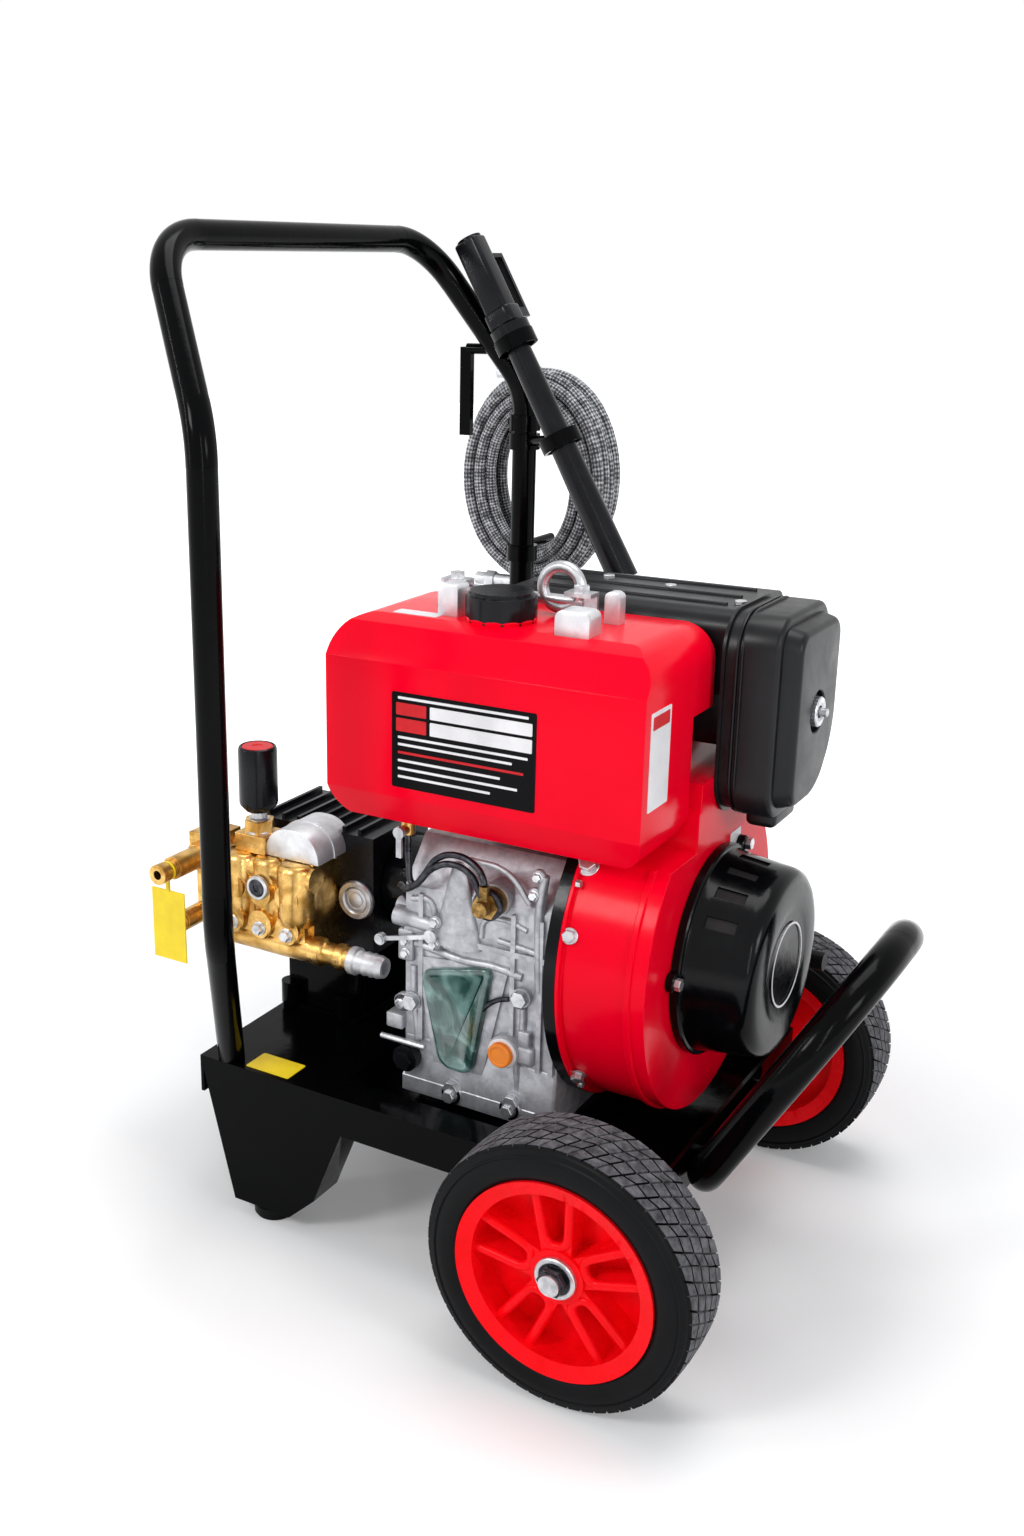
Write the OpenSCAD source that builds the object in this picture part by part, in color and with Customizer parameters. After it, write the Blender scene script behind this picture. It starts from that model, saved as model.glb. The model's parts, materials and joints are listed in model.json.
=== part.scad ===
// Engine-driven high-pressure washer on a two-wheel trolley.
// Millimetres, +Z up. The crankshaft lies along X: pump at -X, starter at +X.
// Inside each part X is counted from the axle, Y from the middle of the track,
// and Z from the ground. place() then moves the origin to the object's middle.

/* [Wheels] */
// Wheel radius over the tread
wheel_r = 130; // [118:1:140]
// Tyre width
wheel_w = 80; // [64:1:90]
// Distance over the outer faces of both tyres
track = 600; // [590:1:680]
// Radius of the rim where the tyre sits
rim_r = 96; // [86:1:102]
// Axle radius
axle_r = 10; // [8:0.5:12]
// Radial running clearance of the wheel on its axle
axle_clear = 0.06; // [0.02:0.01:0.1]
// Pairs of spokes in a rim
spoke_pairs = 5; // [4:1:6]

/* [Base] */
// Base length from the axle to the leg end
base_front = 467; // [455:1:500]
// Base length from the axle to the bumper end
base_back = 44; // [40:1:60]
// Width of the base
base_w = 398; // [390:1:410]
// Height of the base rails
rail_h = 42; // [38:1:50]
// Thickness of the base plates
plate_t = 4; // [3:0.5:5]
// Width of the flange along each rail
flange_w = 38; // [30:1:42]
// Width of a leg at its foot
leg_foot_w = 71; // [60:1:80]
// Height of a rubber foot
foot_h = 16; // [12:1:22]
// Radius of a rubber foot
foot_r = 22; // [18:1:26]

/* [Handle and bumper] */
// Radius of the handle tube
tube_r = 14; // [12:0.5:15]
// Wall of the handle and bumper tubes
tube_wall = 2; // [1.5:0.5:3]
// Handle width over the centres of its uprights
handle_w = 595; // [570:5:620]
// Handle width over the tube centres, at its bar
handle_top_w = 460; // [430:5:500]
// Height of the handle bar over the ground
handle_h = 1003; // [960:1:1060]
// Height at which the handle leans back
handle_bend_h = 840; // [815:1:865]
// How far the handle leans back
handle_lean = 98; // [80:1:110]
// Corner radius of the handle
corner_r = 80; // [60:5:110]
// Radius of the bumper tube
bumper_r = 17; // [14:0.5:19]
// Bumper width over the tube centres
bumper_w = 250; // [220:5:280]
// Height of the top of the bumper hoop
bumper_h = 379; // [340:1:400]
// Reach of the bumper hoop from the axle
bumper_reach = 191; // [170:1:210]

/* [Engine] */
// Length of the crankcase
case_len = 173; // [165:1:180]
// Width of the crankcase over its base flange
case_w = 276; // [260:2:290]
// Crankshaft height over the engine's base
crank_h = 172; // [165:1:180]
// Wall of the crankcase
case_wall = 8; // [6:0.5:10]
// Height of the rubber mounts
rubber_h = 12; // [10:1:16]
// Radius of the main journals
journal_r = 22; // [18:1:26]
// Radial running clearance of the journals
journal_clear = 0.06; // [0.02:0.01:0.1]
// Radius of the blower housing
blower_r = 165; // [155:1:168]
// Depth of the blower housing
blower_len = 88; // [80:1:92]
// Thickness of the spacer plate behind the blower
spacer_t = 12; // [8:1:14]
// Flywheel radius
flywheel_r = 118; // [105:1:122]
// Blades on the flywheel
fan_blades = 16; // [10:1:24]
// Radius of the starter drum at its base
starter_r = 105; // [96:1:112]
// Radius of the starter drum at its face
starter_face_r = 89; // [80:1:94]
// Depth of the starter drum
starter_len = 75; // [70:1:80]
// Radius of the starter reel
reel_r = 55; // [45:1:62]
// Radius of the cylinder over its fins
fin_r = 54; // [50:1:56]
// Cylinder bore radius
bore_r = 38; // [34:1:42]
// Cooling fins on the cylinder
fins = 9; // [6:1:12]

/* [Fuel tank] */
// Length of the tank
tank_len = 333; // [320:1:340]
// Height of the tank
tank_h = 203; // [190:1:210]
// Height of the tank's underside over the crankshaft
tank_rise = 123; // [121:1:130]
// Wall of the tank
tank_wall = 2; // [1.5:0.5:3]
// Corner radius of the tank's front
tank_corner = 34; // [20:1:45]
// Radius of the fuel cap
cap_r = 34; // [30:1:38]
// Height of the fuel cap
cap_h = 28; // [22:1:32]

/* [Air cleaner] */
// Length of the canister
can_len = 68; // [60:1:76]
// Width of the canister
can_w = 144; // [130:1:150]
// Height of the canister
can_h = 196; // [180:1:200]
// Wall of the canister
can_wall = 3; // [2:0.5:4]

/* [Pump] */
// Length of the pump's crankcase along its shaft
pump_len = 150; // [140:1:155]
// Height of the pump's crankcase
pump_h = 134; // [126:1:140]
// Depth of the pump's crankcase
pump_d = 110; // [104:1:116]
// Length of the brass head
head_len = 115; // [108:1:116]
// Height of the brass head
head_h = 110; // [100:1:114]
// Depth of the brass head
head_d = 62; // [56:1:66]
// Radius of the pump shaft
pump_shaft_r = 14; // [12:0.5:16]
// Radius of the pressure outlet
outlet_r = 11; // [9:0.5:12]
// Length of the pressure outlet
outlet_len = 78; // [60:1:90]
// Radius of the water inlet's barb
inlet_r = 9.5; // [8:0.5:11]
// Radius of the pressure knob
knob_r = 17; // [14:0.5:19]
// Height of the pressure knob
knob_h = 74; // [66:1:80]

/* [Gun and hose] */
// Length of the gun with its lance
gun_len = 700; // [640:5:720]
// Radius of the lance's sleeve at its end
sleeve_r = 17; // [15:0.5:17.5]
// Hose radius
hose_r = 6.5; // [5.5:0.25:6.75]
// Loops across the coil
coil_turns = 3; // [2:1:3]
// Layers of the coil
coil_layers = 4; // [2:2:4]
// Half width of the coil at its outside
coil_half_w = 102; // [96:1:112]
// Half height of the coil at its outside
coil_half_h = 131; // [120:1:140]

/* [Hidden] */
$fn = 48;

// Stations and levels that several parts share
pan_z = wheel_r + 14;               // underside of the base's floor plate
floor_z = pan_z + plate_t;          // top of the floor plate
rail_z = wheel_r + 4;               // lower edge of the rails
deck_z = rail_z + rail_h;           // top of the flanges and the platform
case_z = floor_z + rubber_h;        // underside of the crankcase
crank_z = case_z + crank_h;         // crankshaft's height
crank_y = 18;                       // crankshaft's place across the track
case_x0 = -263;                     // crankcase, pump side
case_x1 = case_x0 + case_len;       // crankcase, blower side
blower_x0 = case_x1 + spacer_t;
blower_x1 = blower_x0 + blower_len;
starter_x0 = blower_x1 + 2;
starter_x1 = starter_x0 + starter_len;
case_h = 270;                       // crankcase up to the cylinder's seat
case_top = case_z + case_h;
cyl_x = case_x0 + 85;               // cylinder's axis
cyl_h = 96;
head_z = case_top + cyl_h;          // rocker cover's underside
tank_z = crank_z + tank_rise;
tank_top = tank_z + tank_h;
tank_x0 = -333;
tank_x1 = tank_x0 + tank_len;
tank_y0 = -150;                     // tank's front face
tank_back = -39;                    // tank's back beside the cylinder
tank_over = 8;                      // tank's back over the cylinder head
filler_x = -180;
filler_y = -80;
deck_end_x = -305;                  // where the platform ends
leg_y = base_w / 2;
foot_x = -base_front + 41 + leg_foot_w / 2;
hand_y = handle_w / 2;
top_y = handle_top_w / 2;
handle_fat = 0.15;                  // its bends over its straight runs
hand_x = -357;
hand_foot = [-437, leg_y - 16, deck_z];
can_x0 = 13;
can_y = 70;
can_z = 572;
pump_x0 = -495;
pump_y0 = -48;
pump_z0 = crank_z - 70;
head_x0 = -503;
head_z0 = pump_z0 + 2;
head_y1 = pump_y0;
head_y0 = head_y1 - head_d;
outlet_x = -525;
outlet_z = crank_z + 32;
knob_x = -467;
knob_y = -85;
knob_z0 = crank_z + 82;
inlet_z = head_z0 + 14;
gun_top = [-403.3, 246, handle_h - 4.9];
gun_dir = [0.4924, 0, -0.8704];
coil_c = [-379, 377, handle_bend_h - 114]; // middle of the hose coil
coil_pitch = 2 * hose_r * 1.17;     // step between neighbouring turns
layer_n = coil_turns - 0.5;          // turns before a layer turns back
coil_depth = (coil_layers - 1) * coil_pitch + 2 * hose_r;
hook_end = coil_c[1] + coil_depth / 2 + 10;
axle_end = track / 2 + 4;
// The middle of the object's box goes to the origin.
box_mid = [(bumper_reach + bumper_r + 0.06 + outlet_x - 22) / 2,
           (hook_end + 5 - max(axle_end, hand_y + tube_r + handle_fat)) / 2, 0];
module place() translate(-box_mid) children();

// ---- helpers ----
function unit(v) = v / norm(v);
// Points of a polygon moved inwards by t. The points run anticlockwise.
function edge_n(a, b) = let (d = unit(b - a)) [-d[1], d[0]];
function inset(p, t) = [for (i = [0 : len(p) - 1])
  let (n = len(p), q = p[(i + n - 1) % n], r = p[(i + 1) % n],
       a = edge_n(q, p[i]), b = edge_n(p[i], r))
  p[i] + t * (a + b) / (1 + a * b)];

// Children standing on a and pointing to b
module aim(a, b) {
  d = b - a;
  translate(a)
    rotate([0, acos(d[2] / norm(d)), atan2(d[1], d[0])]) children();
}
module rod(a, b, r) aim(a, b) cylinder(r = r, h = norm(b - a));
module along_x(x, y, z) translate([x, y, z]) rotate([0, 90, 0]) children();
// Children along -Y, starting at the given point
module to_near(x, y, z) translate([x, y, z]) rotate([90, 0, 0]) children();
module hexagon(flats, h) cylinder(d = flats / cos(30), h = h, $fn = 6);
// Rectangle with round corners, exact arcs
module round_rect(w, h, r) {
  square([w - 2 * r, h], center = true);
  square([w, h - 2 * r], center = true);
  for (sx = [-1, 1], sy = [-1, 1])
    translate([sx * (w / 2 - r), sy * (h / 2 - r)]) circle(r);
}
// Profile in Y and Z, extruded along X
module along(x0, x1) translate([x0, 0, 0]) rotate([90, 0, 90])
  linear_extrude(x1 - x0) children();
// Profile in X and Z, extruded along Y from y0 to y1
module across(y0, y1) translate([0, y1, 0]) rotate([90, 0, 0])
  linear_extrude(y1 - y0) children();

// One bend of a tube between two straight runs. A bend is a hair thicker than
// the runs, whose ends stand inside it.
bend_fat = 0.06;
function half_turn(u, v) = acos(max(-1, min(1, u * v))) / 2;
function cut_back(p, i, rad) =
  (i == 0 || i == len(p) - 1) ? 0 :
  rad[i] * tan(half_turn(unit(p[i] - p[i - 1]), unit(p[i + 1] - p[i])));
module ring2(ro, ri) {
  difference() {
    circle(ro);
    if (ri > 0) circle(ri);
  }
}
module bend(p, u, v, rad, ro, ri, fat) {
  turn = 2 * half_turn(u, v);
  w = unit(v - u * (u * v));
  c = p - u * rad * tan(turn / 2) + w * rad;
  z = cross(-w, u);
  multmatrix([[-w[0], u[0], z[0], c[0]], [-w[1], u[1], z[1], c[1]],
              [-w[2], u[2], z[2], c[2]]])
    rotate_extrude(angle = turn) translate([rad, 0])
      ring2(ro + fat, ri > 0 ? ri - fat : 0);
}
// A tube through the points p, bent at each with its own radius. lap is how
// far a straight run goes into its bend, and turn is where its seam starts.
module pipe(p, rad, ro, ri = 0, fat = bend_fat, lap = 0.4, turn = 0) {
  n = len(p) - 1;
  for (i = [0 : n - 1]) {
    u = unit(p[i + 1] - p[i]);
    a = p[i] + u * (cut_back(p, i, rad) - (i > 0 ? lap : 0));
    b = p[i + 1] - u * (cut_back(p, i + 1, rad) - (i < n - 1 ? lap : 0));
    aim(a, b) rotate(turn) linear_extrude(norm(b - a)) ring2(ro, ri);
    if (i < n - 1)
      bend(p[i + 1], u, unit(p[i + 2] - p[i + 1]), rad[i + 1], ro, ri, fat);
  }
}

// ---- base, handle and bumper ----
function leg_outline() = [
  [-base_front, deck_z],
  [-base_front + 41, foot_h],
  [-base_front + 41 + leg_foot_w, foot_h],
  [-base_front + 144, foot_h + 30],
  [-base_front + 179, rail_z],
  [-base_front + 179, deck_z]];
mount_xs = [case_x0 + 25, case_x1 - 25];
mount_ys = [crank_y - case_w / 2 + 26, crank_y + case_w / 2 - 26];

module leg_shell() {
  difference() {
    across(leg_y - 44, leg_y) polygon(leg_outline());
    across(leg_y - 50, leg_y - plate_t)
      polygon(inset(leg_outline(), plate_t));
  }
}
module rail() {
  x0 = -base_front + 179;
  translate([x0, leg_y - plate_t, rail_z])
    cube([base_back - x0, plate_t, rail_h]);
  translate([x0, leg_y - flange_w, deck_z - plate_t])
    cube([base_back - x0, flange_w, plate_t]);
}
module axle_hanger() {
  difference() {
    translate([-24, leg_y - 30, wheel_r - 20]) cube([48, 8, pan_z - wheel_r + 20]);
    translate([0, leg_y - 40, wheel_r]) rotate([-90, 0, 0])
      cylinder(r = axle_r + 0.1, h = 30);
  }
}
module base_pan() place() color("dimgray") {
  difference() {
    union() {
      for (s = [0, 1]) mirror([0, s, 0]) {
        leg_shell();
        rail();
        axle_hanger();
      }
      translate([-base_front + 4, -leg_y + plate_t, pan_z])
        cube([base_front + base_back - 4, base_w - 2 * plate_t, plate_t]);
      // platform under the pump and the handle
      translate([-base_front, -leg_y, deck_z - plate_t])
        cube([base_front + deck_end_x, base_w, plate_t]);
      translate([-base_front, -leg_y, rail_z])
        cube([plate_t, base_w, rail_h]);
      translate([deck_end_x - plate_t, -leg_y + plate_t, pan_z])
        cube([plate_t, base_w - 2 * plate_t, deck_z - pan_z]);
      translate([base_back - plate_t, -leg_y, rail_z])
        cube([plate_t, base_w, rail_h]);
      // saddles that hold the bumper's lower bar
      for (s = [-1, 1]) translate([base_back, s * 80 - 5, bumper_z - 14])
        cube([bumper_r, 10, 28]);
    }
    // axle passes the rails
    translate([0, -leg_y - 1, wheel_r]) rotate([-90, 0, 0])
      cylinder(r = axle_r + 0.1, h = base_w + 2);
    translate([base_back + bumper_r + 0.05, -100, bumper_z]) rotate([-90, 0, 0])
      cylinder(r = bumper_r + 0.02, h = 200);
    // bolt holes of the engine's rubber mounts, and drain slots
    for (x = mount_xs, y = mount_ys) translate([x, y, pan_z - 1])
      cylinder(r = 4.2, h = plate_t + 2);
    for (x = [-200, -130]) translate([x, 0, pan_z - 1])
      linear_extrude(plate_t + 2) round_rect(30, 90, 14);
  }
}
bumper_z = rail_z + 21;
module bumper_hoop() place() color("black") {
  x0 = base_back + bumper_r + 0.05;
  y = bumper_w / 2;
  pipe([[x0, 0, bumper_z], [x0, -y, bumper_z], [bumper_reach, -y, bumper_h],
        [bumper_reach, y, bumper_h], [x0, y, bumper_z], [x0, 0, bumper_z]],
       [0, 40, y - 7, y - 7, 40, 0], bumper_r, bumper_r - tube_wall);
}
// The tube's ends run on into the deck and are cut off along it.
foot_end = hand_foot - 14 * unit([hand_x, hand_y, 380] - hand_foot);
handle_pts = [
  [foot_end[0], -foot_end[1], foot_end[2]],
  [hand_x, -hand_y, 380],
  [hand_x, -hand_y, handle_bend_h],
  [hand_x - handle_lean, -top_y, handle_h],
  [hand_x - handle_lean, top_y, handle_h],
  [hand_x, hand_y, handle_bend_h],
  [hand_x, hand_y, 380],
  foot_end];
handle_bends = [0, 120, 90, corner_r, corner_r, 90, 120, 0];
module handle_tube() place() color("black") {
  difference() {
    pipe(handle_pts, handle_bends, tube_r, 0, handle_fat, 1, 45);
    pipe(handle_pts, handle_bends, tube_r - tube_wall, 0, handle_fat, 1, 45);
    translate([-base_front, -handle_w, deck_z - 60])
      cube([200, 2 * handle_w, 60]);
  }
}
// Middle of the far upright at the height z, over the bend
function upright_at(z) = let (t = (z - handle_bend_h) / (handle_h - handle_bend_h))
  [hand_x - t * handle_lean, hand_y + t * (top_y - hand_y), z];
module foot_at(s) {
  translate([foot_x, s * (leg_y - 24), 0]) {
    cylinder(r = foot_r - 2, h = foot_h);
    translate([0, 0, 3]) cylinder(r = foot_r, h = foot_h - 6);
  }
}
module foot_near() place() color("#202020") foot_at(-1);
module foot_far() place() color("#202020") foot_at(1);

// ---- wheels ----
hub_out = track / 2 - 12;            // hub's outer face, across the track
hub_in = track / 2 - wheel_w + 2;
nut_h = 13;
module axle() place() color("silver") {
  translate([0, -hub_out - nut_h - 3, wheel_r]) rotate([-90, 0, 0])
    cylinder(r = axle_r, h = 2 * (hub_out + nut_h + 3));
  // collars that keep the wheels off the rails
  for (s = [-1, 1]) translate([0, s * (hub_in - 6) - 5, wheel_r])
    rotate([-90, 0, 0]) cylinder(r = axle_r + 6, h = 10);
}
module axle_nut() {
  difference() {
    union() {
      cylinder(r = 18, h = 2.5);
      translate([0, 0, 2.5]) hexagon(24, nut_h - 4);
      translate([0, 0, nut_h - 1.5]) cylinder(r = axle_r + 1.5, h = 1.5);
    }
    translate([0, 0, -1]) cylinder(r = axle_r + 0.02, h = nut_h + 2);
  }
}
module axle_nut_near() place() color("silver")
  to_near(0, -hub_out - 0.4, wheel_r) axle_nut();
module axle_nut_far() place() color("silver")
  mirror([0, 1, 0]) to_near(0, -hub_out - 0.4, wheel_r) axle_nut();

// Section of the tyre: radius, then place across the wheel
function tyre_section() = let (h = wheel_w / 2, r = wheel_r, b = rim_r - 6)
  [[b, -h + 10], [b + 8, -h + 4], [rim_r + 6, -h], [r - 16, -h],
   [r - 8, -h + 2], [r - 3, -h + 7], [r, -h + 15],
   [r, -21], [r - 3, -20], [r - 3, -17], [r, -16],
   [r, -2], [r - 3, -1], [r - 3, 1], [r, 2],
   [r, 16], [r - 3, 17], [r - 3, 20], [r, 21],
   [r, h - 15], [r - 3, h - 7], [r - 8, h - 2],
   [r - 16, h], [rim_r + 6, h], [b + 8, h - 4], [b, h - 10]];
module tyre() rotate_extrude() polygon(tyre_section());
// One of a pair of spokes. The two run nearly side by side from hub to rim.
module spoke(side, h) translate([22, side * 10.5, 0])
  rotate([0, 0, side * 6.5]) translate([0, -4, 0]) cube([rim_r - 30, 8, h]);
module rim() {
  h = wheel_w / 2;
  difference() {
    union() {
      rotate_extrude() polygon([
        [rim_r - 14, -h + 6], [rim_r, -h + 1], [rim_r, -h + 4.2],
        [rim_r - 6, -h + 9], [rim_r - 6, h - 9], [rim_r, h - 4.2],
        [rim_r, h - 1], [rim_r - 14, h - 6], [rim_r - 12, h - 14],
        [rim_r - 12, -h + 14]]);
      translate([0, 0, -h + 2]) cylinder(r = 26, h = 2 * h - 14);
      // dished web behind the spokes
      translate([0, 0, -6]) cylinder(r = rim_r - 11.2, h = 6);
      intersection() {
        for (k = [0 : spoke_pairs - 1], s = [-1, 1])
          rotate([0, 0, k * 360 / spoke_pairs + 96])
            translate([0, 0, -1]) spoke(s, h - 14);
        translate([0, 0, -2]) cylinder(r = rim_r - 11.4, h = h);
      }
    }
    translate([0, 0, -h]) cylinder(r = axle_r + axle_clear, h = 2 * h + 2);
    // recess for the washer
    translate([0, 0, h - 12]) cylinder(r = 20, h = 20);
  }
}
module near_wheel() translate([0, -track / 2 + wheel_w / 2, wheel_r])
  rotate([90, 0, 0]) children();
module far_wheel() mirror([0, 1, 0]) near_wheel() children();
module tyre_near() place() color("#2b2b2b") near_wheel() tyre();
module rim_near() place() color("red") near_wheel() rim();
module tyre_far() place() color("#2b2b2b") far_wheel() tyre();
module rim_far() place() color("red") far_wheel() rim();

// ---- engine ----
module engine_mounts() place() color("#202020")
  for (x = mount_xs, y = mount_ys) translate([x, y, floor_z]) {
    cylinder(r = 16, h = rubber_h);
    translate([0, 0, -plate_t - 5]) cylinder(r = 4, h = plate_t + 5);
    translate([0, 0, -plate_t - 5]) hexagon(13, 4.8);
  }
// Section of the crankcase in Y and Z, from the base upwards
function case_outline() = let (y0 = crank_y - case_w / 2, y1 = crank_y + case_w / 2)
  [[y0, case_z], [y1, case_z], [y1, case_z + 16], [y1 - 12, case_z + 24],
   [y1 - 14, case_z + 210], [y1 - 52, case_top], [y0 + 44, case_top],
   [y0 + 6, case_top - 44], [y0 + 6, case_z + 24], [y0, case_z + 16]];
face_y = crank_y - case_w / 2 + 6;   // crankcase's near face
panel_pts = [[-238, 304], [-219, 201], [-181, 197], [-155, 313]];
case_bolts = [[-128, 297], [-203, 178], [-135, 182], [-252, 262]];
module crankcase() place() color("silver") {
  difference() {
    union() {
      along(case_x0, case_x1) polygon(case_outline());
      // frame of the side panel, ribs and bosses on the near face
      across(face_y - 3, face_y + 1) polygon(inset(panel_pts, -9));
      for (x = [-246, -142, -112, -98])
        translate([x, face_y - 4, case_z + 60]) cube([5, 6, 160]);
      translate([case_x0, face_y - 4, case_z + 176]) cube([case_len, 6, 6]);
      to_near(-144, face_y + 2, 236) cylinder(r = 17, h = 12);
      for (b = case_bolts) to_near(b[0], face_y + 2, b[1])
        cylinder(r = 10, h = 8);
      to_near(-161, face_y + 20, 391) cylinder(r = 17, h = 24);
      to_near(-228, face_y + 2, 340) cylinder(r = 8, h = 10);
      along_x(case_x0 - 16, face_y + 14, 355) cylinder(r = 9, h = 20);
      // bearing boss towards the pump
      along_x(case_x0 - 8, crank_y, crank_z) cylinder(r = 46, h = 10);
    }
    along(case_x0 + case_wall, case_x1 - case_wall)
      polygon(inset(case_outline(), case_wall));
    // main bearings
    along_x(case_x0 - 10, crank_y, crank_z)
      cylinder(r = journal_r + journal_clear, h = case_len + 20);
    // cylinder bore
    translate([cyl_x, crank_y, case_top - case_wall - 2])
      cylinder(r = bore_r, h = 40);
    // dipstick hole, through the wall
    to_near(-144, face_y + 20, 236) cylinder(r = 8, h = 40);
  }
}
module side_panel() place() color("#28443a") {
  across(face_y - 8, face_y - 3) polygon(panel_pts);
  for (p = inset(panel_pts, 9)) to_near(p[0], face_y - 8, p[1])
    hexagon(8, 3);
}
module oil_filter() place() color("#202020")
  to_near(-256, face_y, 199) {
    cylinder(r = 14, h = 14);
    hexagon(18, 20);
  }
module fin_section() {
  step = (cyl_h - 6) / fins;
  translate([bore_r, 0]) square([8, cyl_h]);
  for (k = [0 : fins]) translate([bore_r, k * step]) square([fin_r - bore_r, 4]);
}
module cylinder_body() rotate_extrude() fin_section();
port_y = 62;                         // face of the exhaust port
// cylinder with its fins; the head closes it
module cylinder_node() {
  translate([cyl_x, crank_y, case_top]) {
    cylinder_body();
    translate([0, 0, cyl_h - 12]) cylinder(r = fin_r - 2, h = 12);
    translate([-17, 44, cyl_h - 38]) cube([34, port_y - 44, 30]);
  }
}
module rocker_cover() place() color("silver") {
  translate([cyl_x, crank_y, head_z]) difference() {
    linear_extrude(46) round_rect(112, 96, 18);
    translate([0, 0, 4]) linear_extrude(36) round_rect(104, 88, 14);
  }
}
module spacer_plate() place() color("#202020") difference() {
  union() {
    along_x(case_x1, crank_y, crank_z) cylinder(r = blower_r + 4, h = spacer_t);
    translate([case_x1, crank_y - 50, crank_z]) cube([spacer_t, 140, 186]);
  }
  along_x(case_x1 - 1, crank_y, crank_z) cylinder(r = 70, h = spacer_t + 2);
  translate([case_x1 - 1, -400, crank_z + 116])
    cube([spacer_t + 2, 400 + tank_back + 4, 200]);
  translate([case_x1 - 1, -400, 0]) cube([spacer_t + 2, 800, case_z - 4]);
}
module blower_shape(r, grow) {
  circle(r);
  // duct to the cylinder, above and to the far side
  translate([-52 + 3 - grow, 0]) square([138 - 3 + 2 * grow, 182 + grow]);
}
module blower_cut(t) {
  // room for the tank, and the flat underside
  translate([blower_x0 - 2, -400, crank_z + 116 - t])
    cube([blower_len + 10, 400 + tank_back + 4 + t, 200]);
  translate([blower_x0 - 2, -400, 0])
    cube([blower_len + 10, 800, case_z - 4 + t]);
}
module blower_housing() place() color("red") {
  difference() {
    union() {
      translate([0, crank_y, crank_z]) {
        along(blower_x0, blower_x1) blower_shape(blower_r - 2, 0);
        along(blower_x0, blower_x0 + 4) blower_shape(blower_r + 4, 4);
        // rolled edge at the front
        along(blower_x1 - 20, blower_x1 - 14) circle(blower_r + 1);
      }
    }
    difference() {
      translate([0, crank_y, crank_z])
        along(blower_x0 - 1, blower_x1 - 3) blower_shape(blower_r - 5, -3);
      blower_cut(3);
    }
    along_x(blower_x1 - 10, crank_y, crank_z) cylinder(r = 82, h = 20);
    blower_cut(0);
  }
}
module flywheel() place() color("gray") {
  along_x(blower_x0 + 8, crank_y, crank_z) difference() {
    union() {
      cylinder(r = 40, h = 50);
      cylinder(r = flywheel_r, h = 24);
      for (k = [0 : fan_blades - 1]) rotate(k * 360 / fan_blades)
        translate([84, -1.5, 23]) rotate([0, 0, 24])
          cube([flywheel_r - 92, 4, 34]);
    }
    translate([0, 0, 12]) difference() {
      cylinder(r = flywheel_r - 22, h = 4);
      cylinder(r = 41, h = 4);
    }
    translate([0, 0, -1]) cylinder(r = journal_r - 4, h = 60);
  }
}
module crankshaft() place() color("silver") {
  // main shaft, with a thinner end in the flywheel and in the coupling
  along_x(case_x0 - 30, crank_y, crank_z) cylinder(r = journal_r, h = 90);
  along_x(case_x1 - 60, crank_y, crank_z)
    cylinder(r = journal_r, h = 60 + spacer_t + 7);
  along_x(case_x1 + spacer_t + 7, crank_y, crank_z)
    cylinder(r = journal_r - 4, h = 56);
  for (x = [case_x0 + 60, case_x1 - 76]) along_x(x, crank_y, crank_z)
    difference() {
      cylinder(r = 56, h = 16);
      for (s = [-1, 1]) translate([s > 0 ? 30 : -90, s > 0 ? 26 : 26, -1])
        cube([60, 60, 20]);
    }
  along_x(case_x0 + 70, crank_y + 34, crank_z) cylinder(r = 18, h = case_len - 140);
}
module starter_housing() place() color("#202020") {
  difference() {
    along_x(starter_x0 - 2, crank_y, crank_z) union() {
      cylinder(r = starter_r, h = 8);
      translate([0, 0, 8])
        cylinder(r1 = starter_r - 2, r2 = starter_face_r + 4, h = starter_len - 18);
      translate([0, 0, starter_len - 10]) cylinder(r = starter_face_r, h = 12);
      for (a = [27, 147, 267]) rotate(a)
        translate([starter_r + 3, 0, 0]) cylinder(r = 10, h = 8.2);
    }
    along_x(starter_x0 - 3, crank_y, crank_z)
      cylinder(r = starter_face_r - 4, h = starter_len - 2);
    // louvres over the top and the sides
    for (a = [-70 : 20 : 90]) translate([0, crank_y, crank_z]) rotate([a, 0, 0])
      translate([starter_x0 + 14, -6, 60]) cube([36, 12, 60]);
    // slot of the rope
    translate([rope_x, crank_y + 60, rope_z])
      rotate([-90, 0, 0]) cylinder(r = 6, h = 60);
  }
  // post that carries the reel
  along_x(starter_x1 - 46, crank_y, crank_z) cylinder(r = 9, h = 44);
}
reel_x = starter_x0 + 30;
module starter_reel() place() color("gray")
  along_x(reel_x, crank_y, crank_z) difference() {
    union() {
      cylinder(r = reel_r, h = 3);
      translate([0, 0, 13]) cylinder(r = reel_r, h = 3);
      cylinder(r = reel_r - 10, h = 16);
    }
    translate([0, 0, -1]) cylinder(r = 9.06, h = 30);
  }
rope_y0 = crank_y + starter_r - 10;
rope_x = starter_x0 + 38;
rope_z = crank_z - (reel_r - 10 + 2.5);
module starter_grip() place() color("#202020")
  translate([rope_x, rope_y0 + 14, rope_z]) rotate([-90, 0, 0]) {
    cylinder(r1 = 8, r2 = 11, h = 16);
    translate([0, 0, 22]) rotate([0, 90, 0])
      translate([0, 0, -36]) cylinder(r = 10, h = 72);
  }
module starter_rope() place() color("white")
  translate([rope_x, crank_y - 50, rope_z]) rotate([-90, 0, 0])
    cylinder(r = 2.2, h = rope_y0 + 14 - crank_y + 50);

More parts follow.
